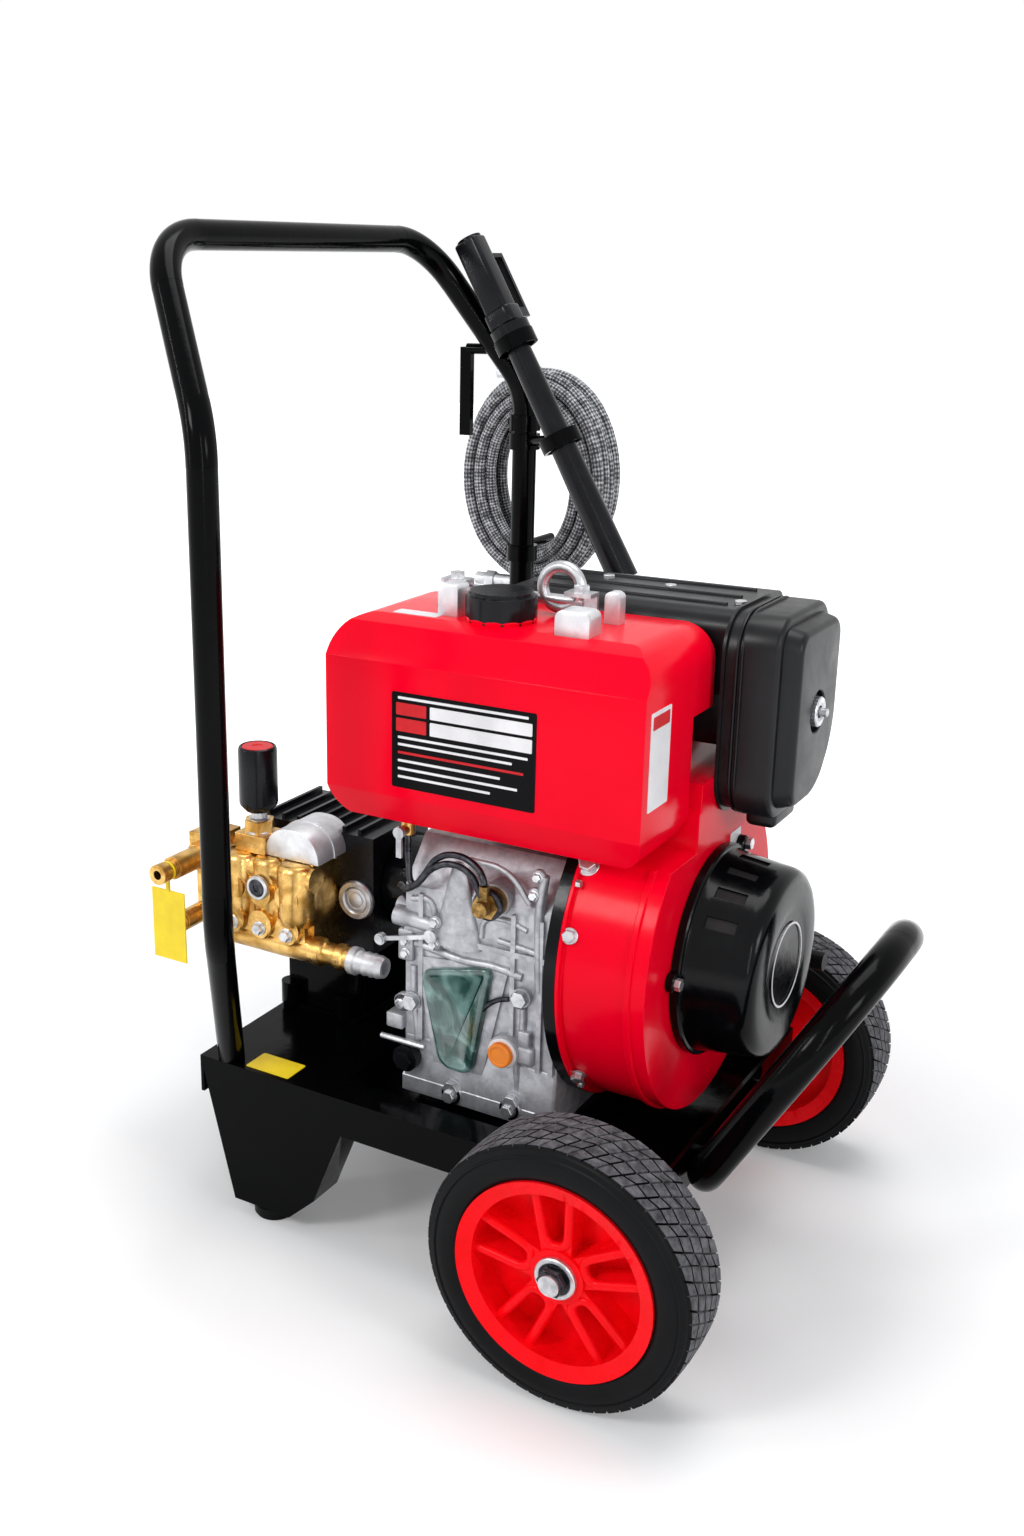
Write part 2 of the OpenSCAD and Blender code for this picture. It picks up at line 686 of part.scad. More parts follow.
module muffler() place() color("#303030") {
  y = crank_y + 136;
  z = head_z - 22;
  along_x(-250, y, z) cylinder(r = 42, h = 170);
  for (x = [-254, -84]) along_x(x, y, z) cylinder(r = 44, h = 8);
  // pipe to the head, and the outlet
  rod([cyl_x, crank_y + port_y, z], [cyl_x, y, z], 13);
  rod([-225, y + 30, z], [-225, y + 74, z - 16], 11);
}
module air_case() place() color("#202020") difference() {
  union() {
    along(-227, can_x0 - 4) translate([92, 625]) round_rect(146, 86, 20);
    along(-40, can_x0 - 4) translate([92, 600]) round_rect(132, 136, 20);
    along(can_x0 - 3, can_x0) translate([can_y, can_z])
      round_rect(can_w + 4, can_h + 4, 40);
    // neck down to the cylinder head
    translate([cyl_x + 28, 44, head_z + 46]) cylinder(r = 17, h = 16);
  }
  // hollow, and the mouth towards the canister
  along(-223, can_x0 - 10) translate([92, 625]) round_rect(138, 78, 16);
  along(-34, can_x0 + 2) translate([can_y, can_z + 30]) circle(38);
}
module air_canister() place() color("#202020") {
  difference() {
    union() {
      along(can_x0, can_x0 + 6) translate([can_y, can_z])
        round_rect(can_w + 4, can_h + 4, 42);
      along(can_x0 + 6, can_x0 + can_len - 8) translate([can_y, can_z])
        round_rect(can_w, can_h, 40);
      along(can_x0 + can_len - 8, can_x0 + can_len) translate([can_y, can_z])
        round_rect(can_w - 34, can_h - 44, 30);
    }
    along(can_x0 - 1, can_x0 + can_len - 8 - can_wall) translate([can_y, can_z])
      round_rect(can_w - 2 * can_wall, can_h - 2 * can_wall, 36);
    along_x(can_x0, can_y, can_z) cylinder(r = 4.2, h = can_len + 10);
  }
}
module air_element() place() color("tan") {
  along_x(can_x0 + 0.3, can_y, can_z) difference() {
    cylinder(r = 58, h = can_len - 14);
    translate([0, 0, -1]) cylinder(r = 34, h = can_len);
  }
  // stud of the wing nut, on its spider
  along_x(can_x0 + 0.3, can_y, can_z) {
    cylinder(r = 4, h = can_len + 9);
    translate([-3, -36, 0]) cube([6, 72, 5]);
    translate([-36, -3, 0]) cube([72, 6, 5]);
  }
}
module wing_nut() place() color("silver")
  along_x(can_x0 + can_len + 0.3, can_y, can_z) difference() {
    union() {
      cylinder(r = 14, h = 2);
      translate([0, 0, 2]) cylinder(r = 8, h = 7);
      for (s = [0, 180]) rotate(s) translate([6, -1.5, 3]) cube([9, 3, 9]);
    }
    translate([0, 0, -1]) cylinder(r = 4.05, h = 20);
  }

// ---- fuel tank ----
// Section in Y and Z, with room for the cylinder head at the back
function tank_outline() = [
  [tank_y0 + 14, tank_z + 4], [tank_y0 + 26, tank_z], [tank_back - 10, tank_z],
  [tank_back, tank_z + 8], [tank_back, head_z + 52], [tank_over, head_z + 56],
  [tank_over, tank_top - 12], [tank_over - 10, tank_top],
  [tank_y0 + 42, tank_top], [tank_y0 + 22, tank_top - 6],
  [tank_y0, tank_top - 38], [tank_y0, tank_z + 34]];
module tank_solid(t) {
  intersection() {
    along(tank_x0 + t, tank_x1 - t) polygon(inset(tank_outline(), t));
    translate([(tank_x0 + tank_x1) / 2, 50, tank_z + tank_h / 2])
      rotate([90, 0, 0]) linear_extrude(300)
        round_rect(tank_len - 2 * t, tank_h - 2 * t + 0.02, tank_corner - t);
  }
}
module fuel_tank() place() color("red") difference() {
  union() {
    difference() {
      tank_solid(0);
      tank_solid(tank_wall);
    }
    // feet on the crankcase
    for (x = [case_x0 + 28, case_x1 - 36])
      translate([x, -72, case_top]) cube([28, 20, tank_z - case_top + 1]);
    translate([filler_x, filler_y, tank_top - 6]) cylinder(r = cap_r - 6, h = 12);
  }
  translate([filler_x, filler_y, tank_top - 20]) cylinder(r = cap_r - 8, h = 40);
}
module fuel_cap() place() color("#202020")
  translate([filler_x, filler_y, tank_top + 0.4]) difference() {
    union() {
      cylinder(r = cap_r, h = cap_h - 4, $fn = 12);
      translate([0, 0, cap_h - 4]) cylinder(r = cap_r - 4, h = 4);
    }
    translate([0, 0, -1]) cylinder(r = cap_r - 5.5, h = cap_h - 5);
  }
hw_y = -38;                          // middle of the tank's hardware
module tank_hardware() place() color("silver") {
  for (x = [-252, -118]) {
    translate([x - 14, hw_y - 15, tank_top]) cube([28, 30, 4]);
    translate([x - 14, hw_y + 5, tank_top]) cube([28, 4, 26]);
    translate([x - 14, hw_y - 9, tank_top + 22]) cube([28, 18, 4]);
    translate([x, hw_y, tank_top + 26]) hexagon(14, 6);
  }
  along_x(-252, hw_y + 7, tank_top + 15) cylinder(r = 5, h = 134);
  // lifting eye
  translate([-142, hw_y + 7.4, tank_top + 26.7]) rotate([90, 0, 0])
    rotate_extrude() translate([20, 0]) circle(5.5);
}
module fuel_tap() place() color("#c9a44a") {
  translate([-262, -112, tank_z - 16]) cylinder(r = 7, h = 16);
  translate([-262, -112, tank_z - 10.5]) rotate([90, 0, 0]) cylinder(r = 5, h = 14);
}
module tap_lever() place() color("#b02020")
  to_near(-262, -126.3, tank_z - 10.5) difference() {
    union() {
      cylinder(r = 6, h = 5);
      translate([-3, -26, 1]) cube([6, 26, 3]);
    }
  }
inj_x = -161;
module injection_pump() place() color("#8a6d2f") {
  to_near(inj_x, face_y - 4, 391) {
    cylinder(r = 15, h = 8);
    hexagon(24, 18);
    cylinder(r = 8, h = 30);
  }
  translate([inj_x, face_y - 24, 391]) cylinder(r = 5, h = 22);
}
module fuel_hose_feed() place() color("#202020")
  pipe([[-262, -112, tank_z - 16], [-262, -112, 420], [-215, -112, 420],
        [-215, -112, 434], [inj_x, face_y - 24, 434], [inj_x, face_y - 24, 413]],
       [0, 14, 6, 6, 12, 0], 4);
module fuel_hose_return() place() color("#202020")
  pipe([[-270, face_y + 14, 364.6], [-274, face_y + 2, 402], [-228, -120, 406],
        [-190, -120, 406], [-190, face_y - 27, 391], [inj_x - 8, face_y - 27, 391]],
       [0, 14, 16, 8, 8, 0], 3.5);
module oil_cap() place() color("orange")
  to_near(-144, face_y - 10.3, 236) {
    cylinder(r = 14, h = 9);
    translate([-3, -12, 9]) cube([6, 24, 5]);
    translate([0, 0, -34]) cylinder(r = 3, h = 34);
  }
module speed_lever() place() color("silver") {
  to_near(-228, face_y - 8.3, 340) {
    cylinder(r = 7, h = 4);
    rotate(194.5) translate([0, -2.2, 0.6]) cube([58, 4.4, 2.8]);
  }
  to_near(-286, face_y - 6.3, 325) {
    cylinder(r = 4.5, h = 10);
    translate([0, 0, 2]) cylinder(r = 6, h = 6);
  }
}
module bolt_row(points, y, flats, h)
  for (b = points) to_near(b[0], y, b[1]) hexagon(flats, h);
module engine_bolts() place() color("silver") {
  bolt_row(case_bolts, face_y - 6, 15, 7);
  // bolts of the starter drum and of the blower's flange
  for (a = [27, 147, 267])
    along_x(starter_x0 + 6.2, crank_y, crank_z) rotate(a)
      translate([starter_r + 5.5, 0, 0]) hexagon(11, 6);
  for (a = [35, 18, -47])
    along_x(blower_x0 + 4, crank_y - (blower_r + 2.3) * cos(a),
            crank_z + (blower_r + 2.3) * sin(a)) hexagon(7, 5);
  for (b = [[-160, 115], [-86, 100], [2, 60]])
    translate([b[0], b[1], 668]) hexagon(11, 4);
}

// ---- pump ----
module coupling_housing() place() color("#202020") difference() {
  union() {
    along_x(pump_x0 + pump_len, crank_y, crank_z) cylinder(r = 52, h = 74);
    along_x(case_x0 - 22, crank_y, crank_z) cylinder(r = 62, h = 14);
  }
  along_x(pump_x0 + pump_len - 1, crank_y, crank_z) cylinder(r = 44, h = 90);
}
module pump_crankcase() place() color("#202020") difference() {
  union() {
    translate([pump_x0, pump_y0, pump_z0]) cube([pump_len, pump_d, pump_h]);
    for (k = [0 : 6])
      translate([pump_x0 + 8 + k * 20, pump_y0 + 4, pump_z0 + pump_h])
        cube([4, pump_d - 8, 6]);
    translate([pump_x0 + 4, pump_y0 + pump_d, pump_z0 + 10])
      cube([pump_len - 8, 10, pump_h - 20]);
  }
  translate([pump_x0 + 8, pump_y0 + 8, pump_z0 + 8])
    cube([pump_len - 16, pump_d - 8, pump_h - 16]);
  along_x(pump_x0 + pump_len - 20, crank_y, crank_z)
    cylinder(r = pump_shaft_r + 0.06, h = 30);
}
module pump_shaft() place() color("silver") {
  along_x(pump_x0 + 9, crank_y, crank_z)
    cylinder(r = pump_shaft_r, h = pump_len + 12);
  for (k = [0 : 2]) translate([0, 10 * cos(120 * k), 10 * sin(120 * k)])
    along_x(pump_x0 + 26 + k * 36, crank_y, crank_z) cylinder(r = 26, h = 20);
  // flexible coupling between pump and engine
  along_x(pump_x0 + pump_len + 12, crank_y, crank_z) difference() {
    cylinder(r = 38, h = case_x0 - 10 - pump_x0 - pump_len - 12);
    translate([0, 0, 9]) cylinder(r = journal_r, h = 100);
  }
}
module pump_pedestal() place() color("#202020") difference() {
  union() {
    for (y = [pump_y0 + 4, pump_y0 + pump_d - 16])
      translate([pump_x0 + 34, y, deck_z]) cube([pump_len - 54, 12, pump_z0 - deck_z]);
    translate([pump_x0 + 6, pump_y0 - 2, pump_z0 - 6]) cube([pump_len - 18, pump_d + 4, 6]);
    translate([pump_x0 + 32, pump_y0 - 6, deck_z]) cube([pump_len - 50, pump_d + 12, 6]);
    for (x = [pump_x0 + 42, pump_x0 + pump_len - 36])
      translate([x, pump_y0 - 2, deck_z + 6]) cylinder(r = 12, h = 26);
  }
}
head_x1 = head_x0 + head_len;
module pump_head() place() color("#c9a44a") {
  translate([head_x0, head_y0 + 12, head_z0]) cube([head_len, head_d - 12, head_h]);
  translate([head_x0 + 4, head_y0, head_z0 + 22])
    cube([head_len - 8, 14, head_h - 44]);
  // upper and lower galleries
  along_x(head_x0 - 4, head_y0 + 12, head_z0 + 14) cylinder(r = 15, h = head_len + 8);
  along_x(head_x0 - 4, head_y0 + 12, head_z0 + head_h - 16)
    cylinder(r = 14, h = head_len + 8);
  // valve bosses
  for (k = [-1 : 1]) {
    to_near(head_x0 + head_len / 2 + k * 36, head_y0 + 4, head_z0 + 38)
      cylinder(r = 15, h = 12);
    to_near(head_x0 + head_len / 2 + k * 36, head_y0 + 4, head_z0 + 74)
      cylinder(r = 15, h = 12);
  }
}
module head_plugs() place() color("#d8b25a") {
  for (k = [-1 : 1], z = [38, 74])
    to_near(head_x0 + head_len / 2 + k * 36, head_y0 - 8, head_z0 + z)
      hexagon(22, 7);
  for (k = [-1 : 1], s = [-1, 1])
    translate([head_x0 + head_len / 2 + k * 36 + s * 12, head_y1 - 12,
               head_z0 + head_h]) hexagon(11, 7);
}
module sight_glass() place() color("silver")
  to_near(pump_x0 + pump_len - 20, pump_y0, crank_z - 8) {
    cylinder(r = 16, h = 5);
    hexagon(24, 9);
    cylinder(r = 8, h = 12);
  }
unl_z = head_z0 + head_h;
module unloader() place() color("#c9a44a") {
  translate([knob_x - 20, knob_y - 18, unl_z]) cube([40, 36, 20]);
  translate([knob_x, knob_y, unl_z + 20]) hexagon(30, knob_z0 - unl_z - 26);
  translate([knob_x, knob_y, unl_z + 18]) cylinder(r = 6, h = knob_z0 - unl_z - 12);
  // block at the end of the head that feeds the outlet
  translate([outlet_x - 20, head_y0, outlet_z - 22]) cube([head_x0 - outlet_x + 15.9, 44, 44]);
  translate([outlet_x - 14, head_y0 + 4, inlet_z + 2])
    cube([28, 36, outlet_z - 22 - inlet_z - 2]);
  to_near(outlet_x + 2, head_y0 + 6, inlet_z + 22) cylinder(r = 11, h = 50);
  to_near(outlet_x + 2, head_y0 + 8, inlet_z + 22) cylinder(r = 8, h = 64);
}
module unloader_knob() place() color("#202020")
  translate([knob_x, knob_y, knob_z0 - 5.6]) difference() {
    union() {
      cylinder(r = knob_r, h = knob_h);
      translate([0, 0, knob_h]) cylinder(r = knob_r - 1.5, h = 4);
      for (k = [0 : 11]) rotate(k * 30) translate([knob_r - 0.2, -1, 4])
        cube([1, 2, knob_h - 12]);
    }
    translate([0, 0, -1]) cylinder(r = 6.06, h = 13.6);
  }
module outlet_fitting() place() color("#c9a44a") difference() {
  to_near(outlet_x, head_y0, outlet_z) {
    hexagon(27, 14);
    cylinder(r = 8, h = outlet_len);
    cylinder(r = outlet_r + 1.5, h = outlet_len - 24);
    cylinder(r = outlet_r - 1, h = outlet_len - 20);
    translate([0, 0, outlet_len - 13]) cylinder(r = outlet_r, h = 13);
  }
  to_near(outlet_x, head_y0 - 16, outlet_z) cylinder(r = 5, h = outlet_len);
}
inlet_y = head_y0 + 12;
module inlet_fitting() place() color("#c9a44a") {
  along_x(head_x1 + 4, inlet_y, inlet_z) {
    hexagon(28, 12);
    cylinder(r = 9, h = 44);
    translate([0, 0, 26]) cylinder(r = 13, h = 10);
    translate([0, 0, 40]) cylinder(r = inlet_r, h = 46);
    for (k = [0 : 2]) translate([0, 0, 45 + 9 * k])
      cylinder(r1 = inlet_r + 0.2, r2 = inlet_r + 1.5, h = 5);
  }
}
tag_y = head_y0 - outlet_len + 18;
module hang_tag() place() color("yellow") {
  translate([outlet_x, tag_y, outlet_z]) rotate([90, 0, 0]) difference() {
    cylinder(r = 10.4, h = 3);
    translate([0, 0, -1]) cylinder(r = 8.4, h = 5);
  }
  translate([outlet_x - 2, tag_y - 3, outlet_z - 24]) cube([4, 3, 15]);
  translate([outlet_x - 22, tag_y - 2.2, outlet_z - 102]) cube([44, 1.4, 80]);
}

// ---- gun and hose ----
module on_gun() translate(gun_top)
  rotate([0, acos(gun_dir[2]), 0]) children();
collar_at = 112;                     // where the gun hangs on its ring
ring_r = 19.5;
module lance_ring() difference() {
  cylinder(r = ring_r + 4, h = 16);
  translate([0, 0, -1]) cylinder(r = ring_r, h = 20);
}
module gun_holder() place() color("black") {
  on_gun() {
    translate([0, 0, collar_at]) lance_ring();
    translate([0, 0, collar_at + 120]) lance_ring();
  }
  // arms from the far upright
  a = gun_top + gun_dir * (collar_at + 8);
  b = gun_top + gun_dir * (collar_at + 128);
  strap = upright_at(handle_bend_h + 44);
  difference() {
    union() {
      rod(upright_at(a[2] - 24), a, 6);
      rod([hand_x, hand_y, b[2] - 9], b, 6);
      translate([hand_x, hand_y, b[2] - 18]) cylinder(r = tube_r + 4, h = 18);
      // strap hook beside the upright
      rod(strap, strap - [38, 6, 0], 6);
      translate(strap - [45, 10, 98]) cube([14, 8, 100]);
    }
    on_gun() cylinder(r = ring_r, h = 400);
    pipe([[hand_x, hand_y, 380], [hand_x, hand_y, handle_bend_h],
          [hand_x - handle_lean, top_y, handle_h]], [0, 90, 0], tube_r + 0.05);
  }
}
// Guard and trigger stand on the gun's side away from the handle.
pin_y = 14;                          // trigger's pivot, beside the gun's axis
pin_z = 85;                          // trigger's pivot, along the gun
module gun_body() place() color("#202020") on_gun() {
  difference() {
    union() {
      // grip with its guard
      translate([0, 0, -6]) cylinder(r = 14, h = 100);
      translate([-6, 4, 14]) cube([12, 46, 78]);
      translate([0, 0, 84]) cylinder(r = 17, h = 18);
      translate([0, 0, 101]) cylinder(r = ring_r + 3, h = 10.7);
      translate([0, 0, 111]) cylinder(r = 14, h = 10);
      translate([0, 0, 121]) cylinder(r1 = 13, r2 = sleeve_r, h = 289);
      cylinder(r = 7, h = gun_len - 20);
      translate([0, 0, gun_len - 40]) cylinder(r1 = 9, r2 = 12, h = 40);
    }
    // room for the finger, slot and pin hole of the trigger, spray tip, inlet
    translate([-9, 8, 19]) cube([18, 37, 62]);
    translate([-3.6, pin_y - 7, 80]) cube([7.2, 14, 11]);
    translate([-20, pin_y, pin_z]) rotate([0, 90, 0]) cylinder(r = 2.56, h = 40);
    translate([0, 0, gun_len - 30]) cylinder(r = 4, h = 60);
    translate([0, 0, -10]) cylinder(r = 5, h = 22);
  }
}
module gun_trigger() place() color("#303030") on_gun()
  translate([0, pin_y, pin_z]) {
    translate([-5.8, 0, 0]) rotate([0, 90, 0]) cylinder(r = 2.5, h = 11.6);
    translate([-3, 0, 0]) rotate([0, 90, 0]) cylinder(r = 5, h = 6);
    rotate([9, 0, 0]) translate([-2.6, -2, -56]) cube([5.2, 6, 56]);
  }
hook_up = coil_half_h - hose_r * (1 + cos(30)) - layer_n * coil_pitch - 5.15;
hook_z = [coil_c[2] + hook_up, coil_c[2] - hook_up];
module hose_hooks() place() color("black") {
  difference() {
    union() {
      for (z = hook_z) {
        translate([hand_x, hand_y, z - 9]) cylinder(r = tube_r + 4, h = 18);
        rod([coil_c[0], hand_y + 8, z], [coil_c[0], hook_end, z], 5);
        translate([coil_c[0], hand_y + 2, z - 5])
          cube([hand_x - coil_c[0], 10, 10]);
      }
      for (k = [0, 1]) {
        z = hook_z[k];
        up = k == 0 ? 1 : -1;
        y = hook_end;
        translate([coil_c[0], y, z]) sphere(r = 5);
        rod([coil_c[0], y, z], [coil_c[0], y, z + up * 40], 5);
      }
    }
    translate([hand_x, hand_y, 400]) cylinder(r = tube_r + 0.05, h = 420);
  }
}

// Route of the hose coil. Turns lie side by side towards the middle, then the
// next layer goes back out. In the half turn where the spiral turns back, it
// keeps its depth and climbs by one layer.
ring_n = 24;
coil_loops = coil_turns * coil_layers - 0.5;
function layer_of(t) = let (k = floor(t / coil_turns), f = t - k * coil_turns)
  min(k + max(0, f - layer_n) / 0.5, coil_layers - 1);
function depth_of(t) = let (k = floor(t / coil_turns), f = t - k * coil_turns)
  (k % 2 == 0) ? min(f, layer_n) : layer_n - min(f, layer_n);
function coil_at(t) = let (a = 360 * t - 90, d = depth_of(t) * coil_pitch)
  coil_c + [(coil_half_w - hose_r - d) * cos(a),
            (layer_of(t) - (coil_layers - 1) / 2) * coil_pitch,
            (coil_half_h - hose_r - d) * sin(a)];
coil_route = [for (i = [0 : coil_loops * ring_n]) coil_at(i / ring_n)];
function tube_frames(p) = [for (i = [0 : len(p) - 1])
  let (a = p[max(i - 1, 0)], b = p[min(i + 1, len(p) - 1)], t = unit(b - a),
       y = unit([0, 1, 0] - t * t[1]), x = cross(y, t)) [p[i], x, y]];
// ends run straight for one diameter
coil_dir0 = [-1, 0, 0];
coil_end = coil_route[len(coil_route) - 1];
coil_path = concat([coil_route[0] + coil_dir0 * 2 * hose_r], coil_route,
                   [coil_end - [2 * hose_r, 0, 0]]);
module tube_mesh(p, r, n) {
  f = tube_frames(p);
  m = len(p);
  pts = [for (q = f, k = [0 : n - 1])
    q[0] + r * (cos(360 * k / n + 30) * q[1] + sin(360 * k / n + 30) * q[2])];
  faces = concat(
    [for (i = [0 : m - 2], k = [0 : n - 1])
      [i * n + k, (i + 1) * n + k, (i + 1) * n + (k + 1) % n]],
    [for (i = [0 : m - 2], k = [0 : n - 1])
      [i * n + k, (i + 1) * n + (k + 1) % n, i * n + (k + 1) % n]],
    [for (k = [1 : n - 2]) [0, k, k + 1]],
    [for (k = [1 : n - 2]) [(m - 1) * n, (m - 1) * n + k + 1, (m - 1) * n + k]]);
  polyhedron(pts, faces);
}
module hose_coil() place() color("gray") tube_mesh(coil_path, hose_r, 6);
// Least gap of the coil to itself, between rings more than half a turn apart
coil_gap = min([for (i = [0 : 2 : len(coil_route) - 1])
  for (j = [i + ring_n / 2 : 1 : min(i + 2 * coil_turns * ring_n + ring_n, len(coil_route) - 1)])
    norm(coil_route[i] - coil_route[j])]) - 2 * hose_r;
coil_length = [for (i = 1, d = 0; i < len(coil_path);
  d = d + norm(coil_path[i] - coil_path[i - 1]), i = i + 1) d];
echo(coil_gap = coil_gap, coil_length = coil_length[len(coil_length) - 1]);  // hose_coil
module hose_end() {
  cylinder(r = hose_r + 1.5, h = 30);
  translate([0, 0, 30]) hexagon(19, 12);
  translate([0, 0, 42]) cylinder(r = 8, h = 14);
}
module hose_ends() place() color("silver") {
  a = coil_path[0];
  b = coil_path[len(coil_path) - 1];
  translate(a) rotate([0, -90, 0]) hose_end();
  translate(b) rotate([0, -90, 0]) hose_end();
}
module cylinder_part() place() color("silver") cylinder_node();

base_pan();
handle_tube();
bumper_hoop();
foot_near();
foot_far();
axle();
axle_nut_near();
axle_nut_far();
tyre_near();
rim_near();
tyre_far();
rim_far();
engine_mounts();
crankcase();
side_panel();
oil_filter();
cylinder_part();  // cylinder
rocker_cover();
spacer_plate();
blower_housing();
starter_housing();
flywheel();
crankshaft();
starter_reel();
starter_grip();
starter_rope();
muffler();
air_case();
air_canister();
air_element();
wing_nut();
fuel_tank();
tank_hardware();
fuel_cap();
fuel_tap();
tap_lever();
injection_pump();
fuel_hose_feed();
fuel_hose_return();
oil_cap();
speed_lever();
engine_bolts();
coupling_housing();
pump_crankcase();
pump_shaft();
pump_pedestal();
pump_head();
head_plugs();
sight_glass();
unloader();
unloader_knob();
outlet_fitting();
inlet_fitting();
hang_tag();
gun_holder();
gun_body();
gun_trigger();
hose_hooks();
hose_coil();
hose_ends();
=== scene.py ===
# %% [markdown]
# # An engine-driven pressure washer on a two-wheel trolley
# The machine is an air-cooled single-cylinder engine that turns a brass-headed
# piston pump, on a folded steel base with a hoop handle. The solids come from
# model.glb. Here each of them gets its real finish, and the parts whose
# surface says most about them get a finer piece of their own.

# %% Load the frame
import json
import math

import bmesh
import bpy
from mathutils import Matrix, Vector


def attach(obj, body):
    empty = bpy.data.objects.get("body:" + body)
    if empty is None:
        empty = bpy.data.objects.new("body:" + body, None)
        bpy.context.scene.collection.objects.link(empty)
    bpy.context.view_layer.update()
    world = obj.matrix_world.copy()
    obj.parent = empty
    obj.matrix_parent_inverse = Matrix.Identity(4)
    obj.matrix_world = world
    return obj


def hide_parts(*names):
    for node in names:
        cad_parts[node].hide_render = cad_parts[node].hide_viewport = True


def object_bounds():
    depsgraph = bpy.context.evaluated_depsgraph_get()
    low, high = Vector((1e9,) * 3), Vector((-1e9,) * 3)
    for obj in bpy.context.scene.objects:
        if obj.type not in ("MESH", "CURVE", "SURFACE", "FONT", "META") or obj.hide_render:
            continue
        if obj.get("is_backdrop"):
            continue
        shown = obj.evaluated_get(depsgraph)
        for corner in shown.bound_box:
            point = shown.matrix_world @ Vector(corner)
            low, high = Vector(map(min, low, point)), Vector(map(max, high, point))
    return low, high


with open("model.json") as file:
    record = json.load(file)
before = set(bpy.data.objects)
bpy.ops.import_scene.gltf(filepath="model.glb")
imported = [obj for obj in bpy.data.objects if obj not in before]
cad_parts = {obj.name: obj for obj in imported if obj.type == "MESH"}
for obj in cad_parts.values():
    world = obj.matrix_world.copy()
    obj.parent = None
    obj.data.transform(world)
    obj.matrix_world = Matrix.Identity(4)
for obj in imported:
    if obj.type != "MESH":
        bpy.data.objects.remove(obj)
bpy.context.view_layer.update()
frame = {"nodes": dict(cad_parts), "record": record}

scene = bpy.context.scene
scene.view_settings.view_transform = "Standard"

# %% [markdown]
# The drawings of this machine measure in millimetres from a point on the
# ground under the axle's middle. X runs from the handle to the bumper, and Y
# from the pump's outlet side to the hose side. The scene is in metres, from the
# middle of the machine's box, so one function turns a drawing place into a
# scene place.

# %% Drawing places
AXLE = Vector((0.16947, -0.0548325, 0.0))


def at(x, y, z):
    """A place on the drawing, in mm from under the axle, as a scene place."""
    return Vector((x / 1000, y / 1000, z / 1000)) + AXLE


HUB_Z = 130
print("axle's middle", at(0, 0, HUB_Z))

# %% [markdown]
# The camera stands a little above the engine's near corner, on the outlet side,
# so that the tank, the pump and the near wheel all show. A long lens keeps
# the upright tubes almost parallel. The small shifts only centre the machine.

# %% Camera
AZIMUTH, ELEVATION, ROLL = 32.55, 17.40, -0.08
EYE, LENS, SHIFT = (518.0, -1378.7, 977.0), 37.378, (0.0834, -0.0027)
a, e = math.radians(AZIMUTH), math.radians(ELEVATION)
back = Vector((math.sin(a) * math.cos(e), -math.cos(a) * math.cos(e), math.sin(e)))
camera_data = bpy.data.cameras.new("camera")
camera = bpy.data.objects.new("camera", camera_data)
scene.collection.objects.link(camera)
camera.location = at(*EYE)
camera.rotation_euler = (
    (-back).to_track_quat("-Z", "Y").to_matrix()
    @ Matrix.Rotation(math.radians(ROLL), 3, "Z")
).to_euler()
camera_data.lens, camera_data.sensor_width = LENS, 36
camera_data.shift_x, camera_data.shift_y = SHIFT
camera_data.clip_start, camera_data.clip_end = 0.05, 30
scene.camera = camera
print("camera at", [round(v, 3) for v in camera.location])

# %% [markdown]
# Every finish below is a small tree of shader nodes. Two helpers are enough to
# build one: the first turns a hex colour, as a paint chart gives it, into the linear
# numbers that a renderer adds up, and the second adds a node with its settings and
# its links. A socket given as a value is linked, and anything else is set. What
# most finishes share is laid by one more: a colour between two tones, a roughness
# that varies, and a fine grain raised as a bump.

# %% Helpers for finishes
def linear(colour):
    """'#rrggbb' as linear red, green, blue and 1."""
    parts = [int(colour[i : i + 2], 16) / 255 for i in (1, 3, 5)]
    return tuple(
        p / 12.92 if p <= 0.04045 else ((p + 0.055) / 1.055) ** 2.4 for p in parts
    ) + (1.0,)


def put(tree, kind, inputs=None, **settings):
    """Adds a node of that kind, with its settings, inputs and links."""
    added = tree.nodes.new(kind)
    for name, value in settings.items():
        setattr(added, name, value)
    for name, value in (inputs or {}).items():
        if isinstance(value, bpy.types.NodeSocket):
            tree.links.new(value, added.inputs[name])
        else:
            added.inputs[name].default_value = value
    return added


def new_finish(name, **shader):
    """A material with its shader set, and the object's own coordinates."""
    made = bpy.data.materials.new(name)
    made.use_nodes = True
    tree = made.node_tree
    body = tree.nodes["Principled BSDF"]
    for key, value in shader.items():
        body.inputs[key.replace("_", " ")].default_value = value
    where = tree.nodes.new("ShaderNodeTexCoord").outputs["Object"]
    return made, tree, body, where


def set_stops(ramp, *stops):
    """Gives a colour ramp three stops, each a place and a tone."""
    tones = ramp.color_ramp.elements
    for i, (place, colour) in enumerate(stops):
        stop = tones[i] if i < 2 else tones.new(place)
        stop.position, stop.color = place, linear(colour)


